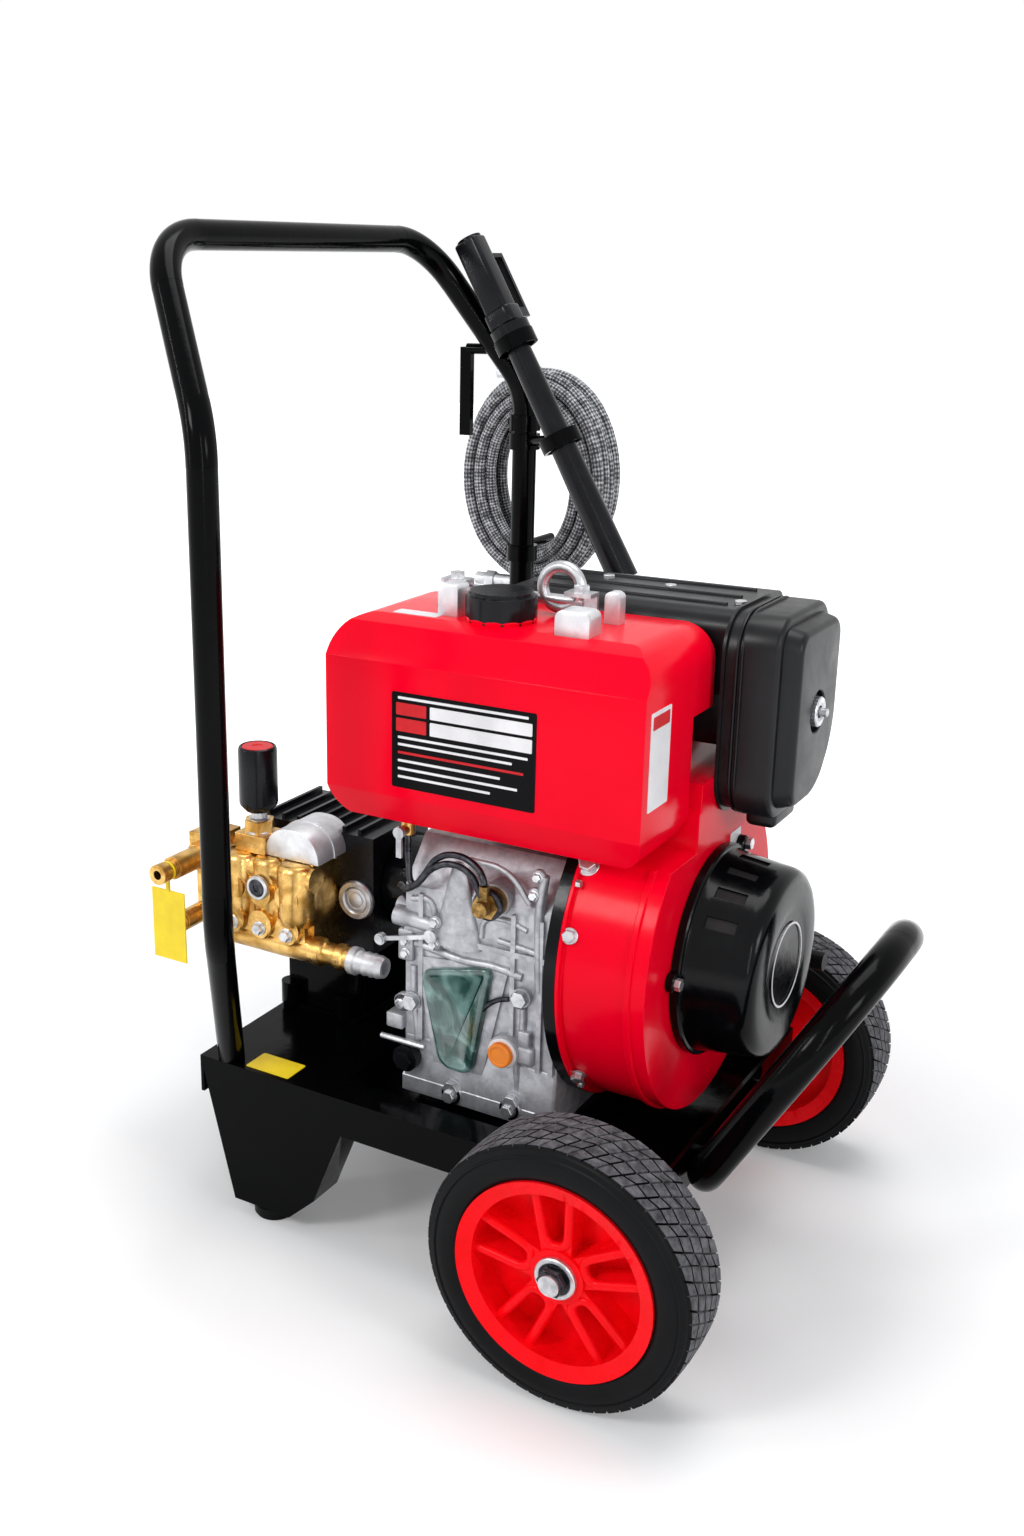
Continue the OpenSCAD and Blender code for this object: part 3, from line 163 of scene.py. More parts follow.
def lay(tree, body, where, shade, tones, wear, span, rough, grain):
    """Lays two tones by shade, a roughness by wear, and a grain: its width and depth
    in mm, its detail and its strength."""
    colour = put(tree, "ShaderNodeMix",
                 {"Factor": shade, 6: linear(tones[0]), 7: linear(tones[1])},
                 data_type="RGBA")
    worn = put(tree, "ShaderNodeMapRange",
               {"Value": wear, "From Min": span[0], "From Max": span[1],
                "To Min": rough[0], "To Max": rough[1]})
    wide_mm, deep_mm, detail, strength = grain
    height = put(tree, "ShaderNodeTexNoise",
                 {"Vector": where, "Scale": 1000 / wide_mm, "Detail": detail})
    bump = put(tree, "ShaderNodeBump",
               {"Height": height.outputs["Fac"], "Strength": strength,
                "Distance": deep_mm / 1000})
    for made, socket in ((colour.outputs[2], "Base Color"), (worn.outputs[0], "Roughness"),
                         (bump.outputs["Normal"], "Normal")):
        tree.links.new(made, body.inputs[socket])


print("red paint is", [round(v, 3) for v in linear("#f60026")])

# %% [markdown]
# Paint and powder coat are never quite flat. The coat creeps into soft waves a
# few millimetres across, called orange peel, and its colour is a little
# deeper where it lies thick. One function makes every coat on the machine: a
# slow noise for the colour, a finer one for the waves, and a trace of dust
# that changes the roughness.

# %% Coats of paint
PATCH_MM, DUST_MM = 60, 9


def coat(name, light, dark, roughness, peel_mm, peel_depth, shine=0.25):
    """Paint with orange peel of peel_mm across, its depth in mm."""
    made, tree, body, where = new_finish(name, Specular_IOR_Level=shine)
    patches = put(tree, "ShaderNodeTexNoise",
                  {"Vector": where, "Scale": 1000 / PATCH_MM, "Detail": 4.0})
    dust = put(tree, "ShaderNodeTexNoise",
               {"Vector": where, "Scale": 1000 / DUST_MM, "Detail": 6.0, "Roughness": 0.7})
    lay(tree, body, where, patches.outputs["Fac"], (dark, light),
        dust.outputs["Fac"], (0.35, 0.75), (roughness, roughness + 0.12),
        (peel_mm, peel_depth, 2.0, 0.35))
    return made


gloss_black_powder_coat = coat(
    "gloss_black_powder_coat", "#040506", "#020203", 0.1, 14, 0.5, shine=0.06)
red_stoved_enamel = coat(
    "red_stoved_enamel", "#f60026", "#e80020", 0.14, 9, 0.12, shine=0.07)
black_stoved_enamel = coat(
    "black_stoved_enamel", "#08090c", "#040506", 0.12, 6, 0.25, shine=0.13)
black_casting_paint = coat(
    "black_casting_paint", "#101116", "#07080b", 0.26, 2.5, 0.4, shine=0.18)
black_heat_paint = coat("black_heat_paint", "#1a1b1d", "#111213", 0.6, 1.5, 0.2)
print("coats", len(bpy.data.materials))

# %% [markdown]
# Bare metals show how they were made. The crankcase is aluminium cast in sand:
# a fine grain all over, darker in the hollows where the sand stays. The
# pump's head is forged brass, turned bright on its faces, and the screws are
# zinc-plated steel. Each keeps its metal's own colour, and only the grain and
# the tarnish differ.

# %% Bare metals
def bare_metal(name, bright, dull, rough_low, rough_high, grain_mm, grain_depth,
               patch_mm, metallic=1.0):
    """Metal with grain of grain_mm, and tarnish in patches of patch_mm."""
    made, tree, body, where = new_finish(name, Metallic=metallic)
    tarnish = put(tree, "ShaderNodeTexNoise",
                  {"Vector": where, "Scale": 1000 / patch_mm, "Detail": 5.0,
                   "Roughness": 0.6, "Distortion": 0.4})
    steps = put(tree, "ShaderNodeMapRange",
                {"Value": tarnish.outputs["Fac"], "From Min": 0.36, "From Max": 0.62})
    lay(tree, body, where, steps.outputs[0], (dull, bright),
        tarnish.outputs["Fac"], (0.3, 0.7), (rough_high, rough_low),
        (grain_mm, grain_depth, 3.0, 0.5))
    return made


sand_cast_aluminium = bare_metal(
    "sand_cast_aluminium", "#bcbdc2", "#9d9ea3", 0.4, 0.54, 2.2, 0.3, 13, metallic=0.6)
forged_brass = bare_metal(
    "forged_brass", "#e0b66e", "#a57c3a", 0.22, 0.4, 1.8, 0.2, 18)
zinc_plated_steel = bare_metal(
    "zinc_plated_steel", "#d3d4d7", "#a9abaf", 0.3, 0.42, 1.0, 0.04, 14, metallic=0.85)
satin_aluminium = bare_metal(
    "satin_aluminium", "#dcdde0", "#c2c3c7", 0.36, 0.48, 1.5, 0.05, 24, metallic=0.7)
phosphated_steel = bare_metal(
    "phosphated_steel", "#4a4b50", "#2a2b2f", 0.28, 0.42, 1.0, 0.05, 8)
bronze_fitting = bare_metal(
    "bronze_fitting", "#a5834d", "#5f4a2c", 0.3, 0.5, 1.2, 0.15, 7)
print("finishes so far", len(bpy.data.materials))

# %% [markdown]
# Moulded plastic takes its grain from the steel of its mould, which is lightly
# etched so that fingermarks don't show. Rubber is the dullest of all: soot in
# it takes the light, and dust stays on it. Both are made by one function with
# a fine bump and a slow change in brightness.

# %% Plastics and rubbers
def moulded(name, light, dark, roughness, grain_mm, grain_depth, patch_mm=35.0,
            sheen=0.0, shine=0.5):
    """Moulded plastic or rubber, with a mould grain of grain_mm."""
    made, tree, body, where = new_finish(
        name, Sheen_Weight=sheen, Specular_IOR_Level=shine)
    patches = put(tree, "ShaderNodeTexNoise",
                  {"Vector": where, "Scale": 1000 / patch_mm, "Detail": 5.0,
                   "Roughness": 0.65})
    steps = put(tree, "ShaderNodeMapRange",
                {"Value": patches.outputs["Fac"], "From Min": 0.35, "From Max": 0.68})
    lay(tree, body, where, steps.outputs[0], (dark, light),
        patches.outputs["Fac"], (0.3, 0.7), (roughness - 0.05, roughness + 0.08),
        (grain_mm, grain_depth, 2.0, 0.4))
    return made


black_etched_abs = moulded(
    "black_etched_abs", "#17181b", "#0f1012", 0.34, 0.9, 0.08, shine=0.22)
black_gloss_abs = moulded(
    "black_gloss_abs", "#111217", "#090a0d", 0.22, 6, 0.15, shine=0.17)
red_polypropylene = moulded(
    "red_polypropylene", "#ff0a1a", "#f0060f", 0.26, 2.5, 0.1, shine=0.1)
orange_nylon = moulded("orange_nylon", "#f58a12", "#df6f08", 0.35, 1.5, 0.1)
signal_red_nylon = moulded(
    "signal_red_nylon", "#d8262e", "#bb1a21", 0.4, 1.5, 0.1, shine=0.2)
tyre_rubber = moulded(
    "tyre_rubber", "#1d1d20", "#111214", 0.6, 1.2, 0.25, 22, 0.04, shine=0.25)
black_rubber = moulded(
    "black_rubber", "#0e0f11", "#08090a", 0.46, 1.0, 0.12, shine=0.1)
yellow_vinyl_sheet = moulded("yellow_vinyl_sheet", "#f6da14", "#e6c80c", 0.4, 1.5, 0.04)
white_vinyl_sheet = moulded("white_vinyl_sheet", "#eceaec", "#dddbde", 0.4, 1.5, 0.04)
black_vinyl_sheet = moulded(
    "black_vinyl_sheet", "#0b0b0d", "#070709", 0.3, 1.5, 0.04, shine=0.06)
filter_paper = moulded("filter_paper", "#d8cfae", "#bfb48e", 0.85, 1.0, 0.3)
print("finishes so far", len(bpy.data.materials))

# %% [markdown]
# The inspection cover on the crankcase's near side is a pressed panel with a
# dark green glossy coat, clear enough on top to look like glass. Its dark green
# varies in slow cloudy patches whose pale parts are painted reflections, and it
# catches long highlights.

# %% Glassy green coat
CLOUD_MM, WAVE_MM = 55, 30
green_clear_coat, tree, body, where = new_finish(
    "green_clear_coat", Roughness=0.12, Coat_Weight=1.0, Coat_Roughness=0.02)
green_and_reflection_clouds = put(tree, "ShaderNodeTexNoise",
             {"Vector": where, "Scale": 1000 / CLOUD_MM, "Detail": 3.0, "Distortion": 1.6})
greens_and_painted_reflection = put(tree, "ShaderNodeValToRGB", {"Fac": green_and_reflection_clouds.outputs["Fac"]})
# The dark stops are the coat's own green; the pale top stop is painted reflection.
set_stops(greens_and_painted_reflection, (0.34, "#1b3a35"), (0.5, "#355a54"), (0.64, "#7ea39e"))
tree.links.new(greens_and_painted_reflection.outputs["Color"], body.inputs["Base Color"])
wave = put(tree, "ShaderNodeTexNoise",
           {"Vector": where, "Scale": 1000 / WAVE_MM, "Detail": 1.0})
bump = put(tree, "ShaderNodeBump",
           {"Height": wave.outputs["Fac"], "Strength": 0.6, "Distance": 0.004})
tree.links.new(bump.outputs["Normal"], body.inputs["Normal"])
print("green coat", green_clear_coat.name)

# %% [markdown]
# The room is plain and pale. The camera, mirrors and glass see it as white,
# while for everything else it is only a dim fill, so that the lamps shape the
# machine. The floor is white too. Where the camera or a mirror looks at it, it
# also gives off a little light, just enough to turn lit floor white, and more
# further out, where the lamps don't reach. The shadow under the machine stays.

# %% Floor and light
def seen_directly(tree):
    """1 where the camera, a mirror or a glass looks, else 0."""
    rays = put(tree, "ShaderNodeLightPath")
    eyes = put(tree, "ShaderNodeMath", {0: rays.outputs["Is Camera Ray"],
                                        1: rays.outputs["Is Transmission Ray"]},
               operation="MAXIMUM")
    return put(tree, "ShaderNodeMath", {0: eyes.outputs[0],
                                        1: rays.outputs["Is Glossy Ray"]},
               operation="MAXIMUM").outputs[0]


world = bpy.data.worlds.new("pale_room")
scene.world = world
world.use_nodes = True
tree = world.node_tree
tree.nodes.clear()
soft = put(tree, "ShaderNodeBackground", {"Color": (0.94, 0.96, 1.0, 1), "Strength": 0.5})
white = put(tree, "ShaderNodeBackground", {"Color": (1, 1, 1, 1), "Strength": 1.0})
both = put(tree, "ShaderNodeMixShader", {0: seen_directly(tree), 1: soft.outputs[0],
                                         2: white.outputs[0]})
put(tree, "ShaderNodeOutputWorld", {"Surface": both.outputs[0]})

floor_shape = bmesh.new()
bmesh.ops.create_grid(floor_shape, x_segments=2, y_segments=2, size=9)
floor_mesh = bpy.data.meshes.new("floor")
floor_shape.to_mesh(floor_mesh)
floor_shape.free()
floor = bpy.data.objects.new("floor", floor_mesh)
scene.collection.objects.link(floor)
white_floor, tree, body, where = new_finish("white_floor", Roughness=0.9)
body.inputs["Base Color"].default_value = (0.82, 0.82, 0.82, 1)
body.inputs["Specular IOR Level"].default_value = 0.0
far = put(tree, "ShaderNodeVectorMath", {0: where}, operation="LENGTH")
reach = put(tree, "ShaderNodeMapRange",
            {"Value": far.outputs["Value"], "From Min": 0.45, "From Max": 1.9,
             "To Min": 0.12, "To Max": 1.0})
glow = put(tree, "ShaderNodeMath", {0: reach.outputs[0], 1: seen_directly(tree)},
           operation="MULTIPLY")
tree.links.new(glow.outputs[0], body.inputs["Emission Strength"])
body.inputs["Emission Color"].default_value = (1, 1, 1, 1)
floor_mesh.materials.append(white_floor)
floor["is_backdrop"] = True


def lamp(name, place, look, wide, high, power):
    """A soft flat lamp at a place in metres, turned to what it lights."""
    data = bpy.data.lights.new(name, "AREA")
    data.shape, data.size, data.size_y, data.energy = "RECTANGLE", wide, high, power
    made = bpy.data.objects.new(name, data)
    scene.collection.objects.link(made)
    made.location = place
    made.rotation_euler = (Vector(look) - Vector(place)).to_track_quat("-Z", "Y").to_euler()
    return made


lamp("key", (-1.0, -2.6, 2.1), (0, 0, 0.45), 0.7, 0.7, 33)
lamp("side", (2.8, -0.9, 1.5), (0, 0, 0.45), 0.8, 0.8, 20)
lamp("top", (0.2, 0.3, 3.1), (0, 0, 0.4), 1.6, 1.6, 42)
lamp("strip_left", (-1.9, -1.7, 1.4), (0, 0, 0.5), 0.035, 1.6, 8)
lamp("strip_right", (1.7, -2.3, 1.2), (0, 0, 0.5), 0.035, 1.6, 8)
print("lamps", len(bpy.data.lights))

# %% [markdown]
# A piece made here starts as a bmesh: a plain shape, a few corners or a
# profile, worked by the mesh operators until it is right. This function closes
# that work: it merges doubles, turns the faces outwards, gives the mesh its
# finish, and hangs the piece on the body that it moves with.

# %% Finishing a piece
def show(name, shape, finish, body="trolley", smooth=35, replaced=(), weld=True):
    """Turns a bmesh into a piece that rides on a body, and may replace solids."""
    if weld:
        bmesh.ops.remove_doubles(shape, verts=shape.verts, dist=1e-6)
        bmesh.ops.recalc_face_normals(shape, faces=shape.faces)
    mesh = bpy.data.meshes.new(name)
    shape.to_mesh(mesh)
    shape.free()
    mesh.materials.append(finish)
    mesh.shade_smooth()
    mesh.set_sharp_from_angle(angle=math.radians(smooth))
    made = bpy.data.objects.new(name, mesh)
    scene.collection.objects.link(made)
    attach(made, body)
    if replaced:
        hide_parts(*replaced)
    return made


def dress(finish, *names):
    """Gives CAD solids their finish."""
    for name in names:
        for held in frame["nodes"][name].material_slots:
            held.material = finish


print("helpers ready")

# %% [markdown]
# The high-pressure hose comes first, because it is the one soft thing here and
# its place is fixed by its length. It hangs on two hooks as a flat ring of
# eleven and a half turns: each layer runs three turns towards the middle, then
# the next layer climbs over it and runs out again. Both ends go straight into
# their couplings. The turns repeat the route of the solid, at twice as many
# points a turn.

# %% Route of the hose
HOSE_R, TURNS, LAYERS = 6.5, 3, 4
RING = Vector((-379.0, 377.0, 726.0))
HALF_WIDE, HALF_HIGH = 102.0, 131.0
STEP = 2 * HOSE_R * 1.17
LAST = TURNS - 0.5


def hose_at(t):
    """The hose's centreline on the drawing after t turns."""
    k = math.floor(t / TURNS)
    f = t - k * TURNS
    inward = min(f, LAST) if k % 2 == 0 else LAST - min(f, LAST)
    layer = min(k + max(0.0, f - LAST) / 0.5, LAYERS - 1)
    turn = math.radians(360 * t - 90)
    return RING + Vector((
        (HALF_WIDE - HOSE_R - inward * STEP) * math.cos(turn),
        (layer - (LAYERS - 1) / 2) * STEP,
        (HALF_HIGH - HOSE_R - inward * STEP) * math.sin(turn)))


loops = TURNS * LAYERS - 0.5
route = [hose_at(i / 48) for i in range(int(loops * 48) + 1)]
route = [route[0] - Vector((13, 0, 0))] + route + [route[-1] - Vector((13, 0, 0))]
route = [at(*p) for p in route]
hose_length = sum((b - a).length for a, b in zip(route, route[1:]))
print("hose length in mm", round(hose_length * 1000))

# %% [markdown]
# The hose is a curve through the route with a round bevel. It becomes a mesh at
# once, because its ends have to be sewn shut, and the curve's own UV map then
# runs along and round it.

# %% Hose
curve = bpy.data.curves.new("pressure_hose", "CURVE")
curve.dimensions = "3D"
curve.bevel_depth, curve.bevel_resolution = HOSE_R / 1000 - 0.00005, 3
curve.use_fill_caps = True
line = curve.splines.new("POLY")
line.points.add(len(route) - 1)
for point, place in zip(line.points, route):
    point.co = (*place, 1)
drawn = bpy.data.objects.new("hose_line", curve)
scene.collection.objects.link(drawn)
ready = bpy.context.evaluated_depsgraph_get()
hose_mesh = bpy.data.meshes.new_from_object(drawn.evaluated_get(ready))
bpy.data.objects.remove(drawn)
hose_mesh.name = "pressure_hose"
sewn = bmesh.new()
sewn.from_mesh(hose_mesh)
bmesh.ops.remove_doubles(sewn, verts=sewn.verts, dist=1e-6)
sewn.to_mesh(hose_mesh)
sewn.free()
hose = bpy.data.objects.new("pressure_hose", hose_mesh)
scene.collection.objects.link(hose)
hose_mesh.shade_smooth()
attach(hose, "trolley")
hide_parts("hose_coil")
print("hose uv", [layer.name for layer in hose_mesh.uv_layers], len(hose_mesh.polygons))

# %% [markdown]
# The hose is rubber under a braid of grey nylon yarn. Two sets of yarns cross
# at about 45 degrees, one light and one in shadow. Real yarns are half a
# millimetre wide, too fine to see from here, so they are drawn about four
# millimetres wide. The pattern follows the hose through its own UV map, and
# soil in the yarn breaks it up.

# %% Braid
BRAID_MM, YARNS, SOIL_MM = 8, 5.0, 9
grey_nylon_braid, tree, body, where = new_finish(
    "grey_nylon_braid", Roughness=0.55, Sheen_Weight=0.2)

spot = tree.nodes["Texture Coordinate"].outputs["UV"]
parts = put(tree, "ShaderNodeSeparateXYZ", {"Vector": spot})
along = put(tree, "ShaderNodeMath",
            {0: parts.outputs["X"], 1: hose_length * 1000 / BRAID_MM}, operation="MULTIPLY")
round_it = put(tree, "ShaderNodeMath", {0: parts.outputs["Y"], 1: YARNS},
               operation="MULTIPLY")
crossings = []
for sign in ("ADD", "SUBTRACT"):
    slant = put(tree, "ShaderNodeMath", {0: along.outputs[0], 1: round_it.outputs[0]},
                operation=sign)
    phase = put(tree, "ShaderNodeMath", {0: slant.outputs[0], 1: 2 * math.pi},
                operation="MULTIPLY")
    crossings.append(put(tree, "ShaderNodeMath", {0: phase.outputs[0]}, operation="SINE"))
woven = put(tree, "ShaderNodeMath", {i: c.outputs[0] for i, c in enumerate(crossings)},
            operation="MULTIPLY")
soil = put(tree, "ShaderNodeTexNoise",
           {"Vector": where, "Scale": 1000 / SOIL_MM, "Detail": 5.0, "Roughness": 0.75})
level = put(tree, "ShaderNodeMapRange",
            {"Value": woven.outputs[0], "From Min": -1.0, "From Max": 1.0,
             "To Min": -0.2, "To Max": 0.2})
mixed = put(tree, "ShaderNodeMath", {0: level.outputs[0], 1: soil.outputs["Fac"]},
            operation="ADD")
greys = put(tree, "ShaderNodeValToRGB", {"Fac": mixed.outputs[0]})
set_stops(greys, (0.34, "#1f1f23"), (0.5, "#65666c"), (0.68, "#d0d1d5"))
tree.links.new(greys.outputs["Color"], body.inputs["Base Color"])
bump = put(tree, "ShaderNodeBump",
           {"Height": woven.outputs[0], "Strength": 0.6, "Distance": 0.0012})
tree.links.new(bump.outputs["Normal"], body.inputs["Normal"])
hose_mesh.materials.clear()
hose_mesh.materials.append(grey_nylon_braid)
dress(zinc_plated_steel, "hose_ends")
print("yarns", BRAID_MM / 2, "mm wide")

# %% [markdown]
# Now every solid gets its finish, part by part: first the trolley, then the
# engine, the pump, and what hangs on the handle.

# %% Dress the solids
dress(gloss_black_powder_coat, "base_pan", "handle_tube", "bumper_hoop", "hose_hooks",
      "gun_holder", "pump_pedestal")
dress(zinc_plated_steel, "axle", "axle_nut_near", "axle_nut_far", "engine_bolts",
      "tank_hardware", "wing_nut", "crankshaft", "pump_shaft", "speed_lever",
      "sight_glass", "tap_lever")
dress(black_rubber, "foot_near", "foot_far", "engine_mounts", "fuel_hose_feed",
      "fuel_hose_return", "starter_grip")
dress(tyre_rubber, "tyre_near", "tyre_far")
dress(red_polypropylene, "rim_near", "rim_far")
dress(sand_cast_aluminium, "crankcase", "cylinder", "rocker_cover")
dress(black_heat_paint, "flywheel", "starter_reel", "muffler")
dress(green_clear_coat, "side_panel")
dress(black_gloss_abs, "oil_filter", "fuel_cap", "gun_body", "gun_trigger",
      "unloader_knob")
dress(black_stoved_enamel, "spacer_plate", "starter_housing", "coupling_housing")
dress(red_stoved_enamel, "blower_housing", "fuel_tank")
dress(black_etched_abs, "air_case", "air_canister")
dress(filter_paper, "air_element", "starter_rope")
dress(forged_brass, "pump_head", "head_plugs", "unloader", "outlet_fitting",
      "inlet_fitting", "fuel_tap")
dress(bronze_fitting, "injection_pump")
dress(orange_nylon, "oil_cap")
dress(black_casting_paint, "pump_crankcase")
dress(yellow_vinyl_sheet, "hang_tag")
print("dressed", len(frame["nodes"]), "solids")

# %% [markdown]
# A real edge is never a line. Cast, pressed and moulded parts all have a small
# radius, and that radius catches the light. So most solids are shown by a
# copy: its loose triangles are merged, flat areas are made whole again, and a
# Bevel modifier rounds every sharp edge by the radius that the part's own
# making gives it. The solid itself stays for the motion.

# %% Softened copies of solids
body_of = {node: body for body, nodes in frame["record"]["behaviour"]["bodies"].items()
           for node in nodes}
FLAT_DEG, SHARP_DEG = 0.6, 30


def softened(node, finish, radius):
    """Shows a solid by a copy whose sharp edges are rounded to radius mm."""
    shape = bmesh.new()
    shape.from_mesh(frame["nodes"][node].data)
    bmesh.ops.remove_doubles(shape, verts=shape.verts, dist=3e-6)
    bmesh.ops.dissolve_degenerate(shape, edges=shape.edges, dist=1e-6)
    bmesh.ops.dissolve_limit(shape, angle_limit=math.radians(FLAT_DEG), verts=shape.verts,
                             edges=shape.edges, use_dissolve_boundaries=False)
    made = show(f"{node}_soft", shape, finish, body_of[node], 40,
                replaced=[node], weld=False)
    edges = made.modifiers.new("soft_edges", "BEVEL")
    edges.width, edges.segments = radius / 1000, 2
    edges.limit_method, edges.angle_limit = "ANGLE", math.radians(SHARP_DEG)
    edges.use_clamp_overlap = True
    edges.harden_normals = True


for finish, radii in (
    (gloss_black_powder_coat, {"base_pan": 1.6, "pump_pedestal": 1.5}),
    (sand_cast_aluminium, {"crankcase": 1.5, "rocker_cover": 2.0}),
    (red_stoved_enamel, {"blower_housing": 2.2}),
    (black_stoved_enamel, {"coupling_housing": 2.0}),
    (black_casting_paint, {"pump_crankcase": 1.5}),
    (forged_brass, {"pump_head": 1.8, "unloader": 0.9, "outlet_fitting": 0.6}),
    (black_etched_abs, {"air_case": 3.0}),
    (zinc_plated_steel, {"tank_hardware": 1.0}),
    (black_gloss_abs, {"fuel_cap": 1.6, "gun_body": 1.5}),
    (red_polypropylene, {"rim_near": 1.6, "rim_far": 1.6}),
    (zinc_plated_steel, {"engine_bolts": 0.6}),
    (phosphated_steel, {"axle_nut_near": 0.8, "axle_nut_far": 0.8}),
    (black_gloss_abs, {"oil_filter": 1.2}),
):
    for node, radius in radii.items():
        softened(node, finish, radius)

# %% [markdown]
# Most forms on this machine start as a block whose corners are then rounded and
# cut. Short functions do that with the mesh operators: a block between two
# drawing places, a turned form from a profile, choices of edges and faces, a
# bevel with fixed settings, a cut by a plane that closes what it opens, and two
# that put forms together.

# %% Shaping helpers
VERT, EDGE = bmesh.types.BMVert, bmesh.types.BMEdge


def block(low, high):
    """A block between two places on the drawing."""
    shape = bmesh.new()
    a, b = at(*low), at(*high)
    bmesh.ops.create_cube(shape, size=1.0)
    bmesh.ops.scale(shape, vec=b - a, verts=shape.verts)
    bmesh.ops.translate(shape, vec=(a + b) / 2, verts=shape.verts)
    return shape


def running_along(shape, axis, above=-1.0):
    """Edges that run along one axis: 0, 1 or 2, and lie above a height in metres."""
    return [e for e in shape.edges if e.verts[0].co.z > above
            and abs((e.verts[1].co - e.verts[0].co).normalized()[axis]) > 0.999]


def sharp(shape, degrees=60):
    """Edges where two faces meet at more than so many degrees."""
    shape.normal_update()
    return [e for e in shape.edges
            if len(e.link_faces) == 2 and e.calc_face_angle() > math.radians(degrees)]


def outermost(shape, direction):
    """The face whose middle lies furthest in a direction."""
    way = Vector(direction)
    return max(shape.faces, key=lambda face: face.calc_center_median().dot(way))


def everything(shape):
    """Its vertices, edges and faces."""
    return shape.verts[:] + shape.edges[:] + shape.faces[:]


def picked(found, kind):
    """The vertices, or the edges, among what an operator gives back."""
    return [part for part in found if isinstance(part, kind)]


def soften(shape, edges, radius, segments=3):
    """Rounds edges to a radius in mm."""
    bmesh.ops.bevel(shape, geom=edges, offset=radius / 1000, offset_type="OFFSET",
                    affect="EDGES", segments=segments, profile=0.5, material=-1,
                    clamp_overlap=True)


def cushion(low, high, axis, corner, corner_steps, edge, edge_steps):
    """A block rounded round one axis, and then on every edge that is still sharp."""
    shape = block(low, high)
    soften(shape, running_along(shape, axis), corner, corner_steps)
    soften(shape, sharp(shape), edge, edge_steps)
    return shape


def cut_off(shape, place, normal):
    """Cuts away what lies beyond a plane and closes the cut."""
    cut = bmesh.ops.bisect_plane(shape, geom=everything(shape), plane_co=at(*place),
                                 plane_no=normal, clear_outer=True, dist=1e-7)
    bmesh.ops.contextual_create(shape, geom=picked(cut["geom_cut"], EDGE))


def turned(profile, place, axis, steps=48):
    """A turned form. profile is a list of (radius, height) in mm, open or closed,
    and height runs along the axis from the place on the drawing."""
    shape = bmesh.new()
    points = [shape.verts.new((r / 1000, 0, h / 1000)) for r, h in profile]
    lines = [shape.edges.new(pair) for pair in zip(points, points[1:])]
    bmesh.ops.spin(shape, geom=points + lines, cent=(0, 0, 0), axis=(0, 0, 1),
                   angle=2 * math.pi, steps=steps, use_merge=True)
    bmesh.ops.remove_doubles(shape, verts=shape.verts, dist=1e-7)
    bmesh.ops.recalc_face_normals(shape, faces=shape.faces)
    turn = Vector((0, 0, 1)).rotation_difference(Vector(axis)).to_matrix()
    bmesh.ops.rotate(shape, cent=(0, 0, 0), matrix=turn, verts=shape.verts)
    bmesh.ops.translate(shape, vec=at(*place), verts=shape.verts)
    return shape


def button(radius, tall, across=1.0, down=1.0):
    """The profile of a flat round button, its upper edge broken across and down."""
    return [(0, 0), (radius, 0), (radius, tall - down), (radius - across, tall), (0, tall)]


def add_in(shape, other):
    """Puts a second bmesh into the first."""
    held = bpy.data.meshes.new("held")
    other.to_mesh(held)
    other.free()
    shape.from_mesh(held)
    bpy.data.meshes.remove(held)
    return shape


def together(*shapes):
    """Puts several forms into one."""
    first, *others = shapes
    for other in others:
        add_in(first, other)
    return first


NEAR, FAR, TO_BUMPER, UP = (0, -1, 0), (0, 1, 0), (1, 0, 0), (0, 0, 1)
print("shaping helpers ready")

# %% [markdown]
# The fuel tank is two pressed steel shells welded together. Seen from the near
# side it is a cushion-cornered box: large corners, a long shoulder that rises
# to the top, and a shallow fall to the bottom. Pressing leaves no sharp edge
# anywhere, so after the block is cut to its shape every edge gets a radius.
# Behind the upper half the tank reaches back over the cylinder head.

# %% Fuel tank
TANK_LOW, TANK_HIGH = (-333, -150, 455), (0, -39, 658)
REACH_FROM, REACH = 580, 47
tank = block(TANK_LOW, TANK_HIGH)
soften(tank, running_along(tank, 1), 34, 10)
for place, slope in (((0, -150, 620), (0, -32, 22)), ((0, -128, 652), (0, -6, 20)),
                     ((0, -150, 489), (0, -30, -14)), ((0, -136, 459), (0, -4, -12))):
    cut_off(tank, place, slope)
bmesh.ops.bisect_plane(tank, geom=everything(tank), plane_co=at(0, 0, REACH_FROM),
                       plane_no=UP)
tank.normal_update()
upper_back = [f for f in tank.faces if f.normal.y > 0.9
              and f.calc_center_median().z > REACH_FROM / 1000 + 0.001]
grown = bmesh.ops.extrude_face_region(tank, geom=upper_back)
bmesh.ops.translate(tank, vec=(0, REACH / 1000, 0), verts=picked(grown["geom"], VERT))
bmesh.ops.delete(tank, geom=upper_back, context="FACES_ONLY")
bmesh.ops.recalc_face_normals(tank, faces=tank.faces)
soften(tank, sharp(tank, 14), 7, 4)
neck = turned([(0, 656), (33, 656), (34, 661), (31, 664), (30, 668), (0, 668)],
              (-180, -80, 0), UP)
show("fuel_tank_shell", add_in(tank, neck), red_stoved_enamel, smooth=40,
     replaced=["fuel_tank"])
print("tank", [b - a for a, b in zip(TANK_LOW, TANK_HIGH)], "mm")

# %% [markdown]
# Rating plates and hints are thin vinyl stickers. They are left without any
# word or mark: a plain black one on the tank's front with empty entry fields,
# a white one on its end, and a yellow one on the deck. A sticker is half a
# millimetre to a millimetre thick here, with rounded corners.

# %% Bare stickers
SHEET_FRONT, SHEET_BACK = -150.9, -150.4


def sticker(name, low, high, thin_axis, finish, corner=2.0):
    """A thin plate with rounded corners, seen from along thin_axis."""
    plate = block(low, high)
    soften(plate, running_along(plate, thin_axis), corner, 3)
    show(name, plate, finish)


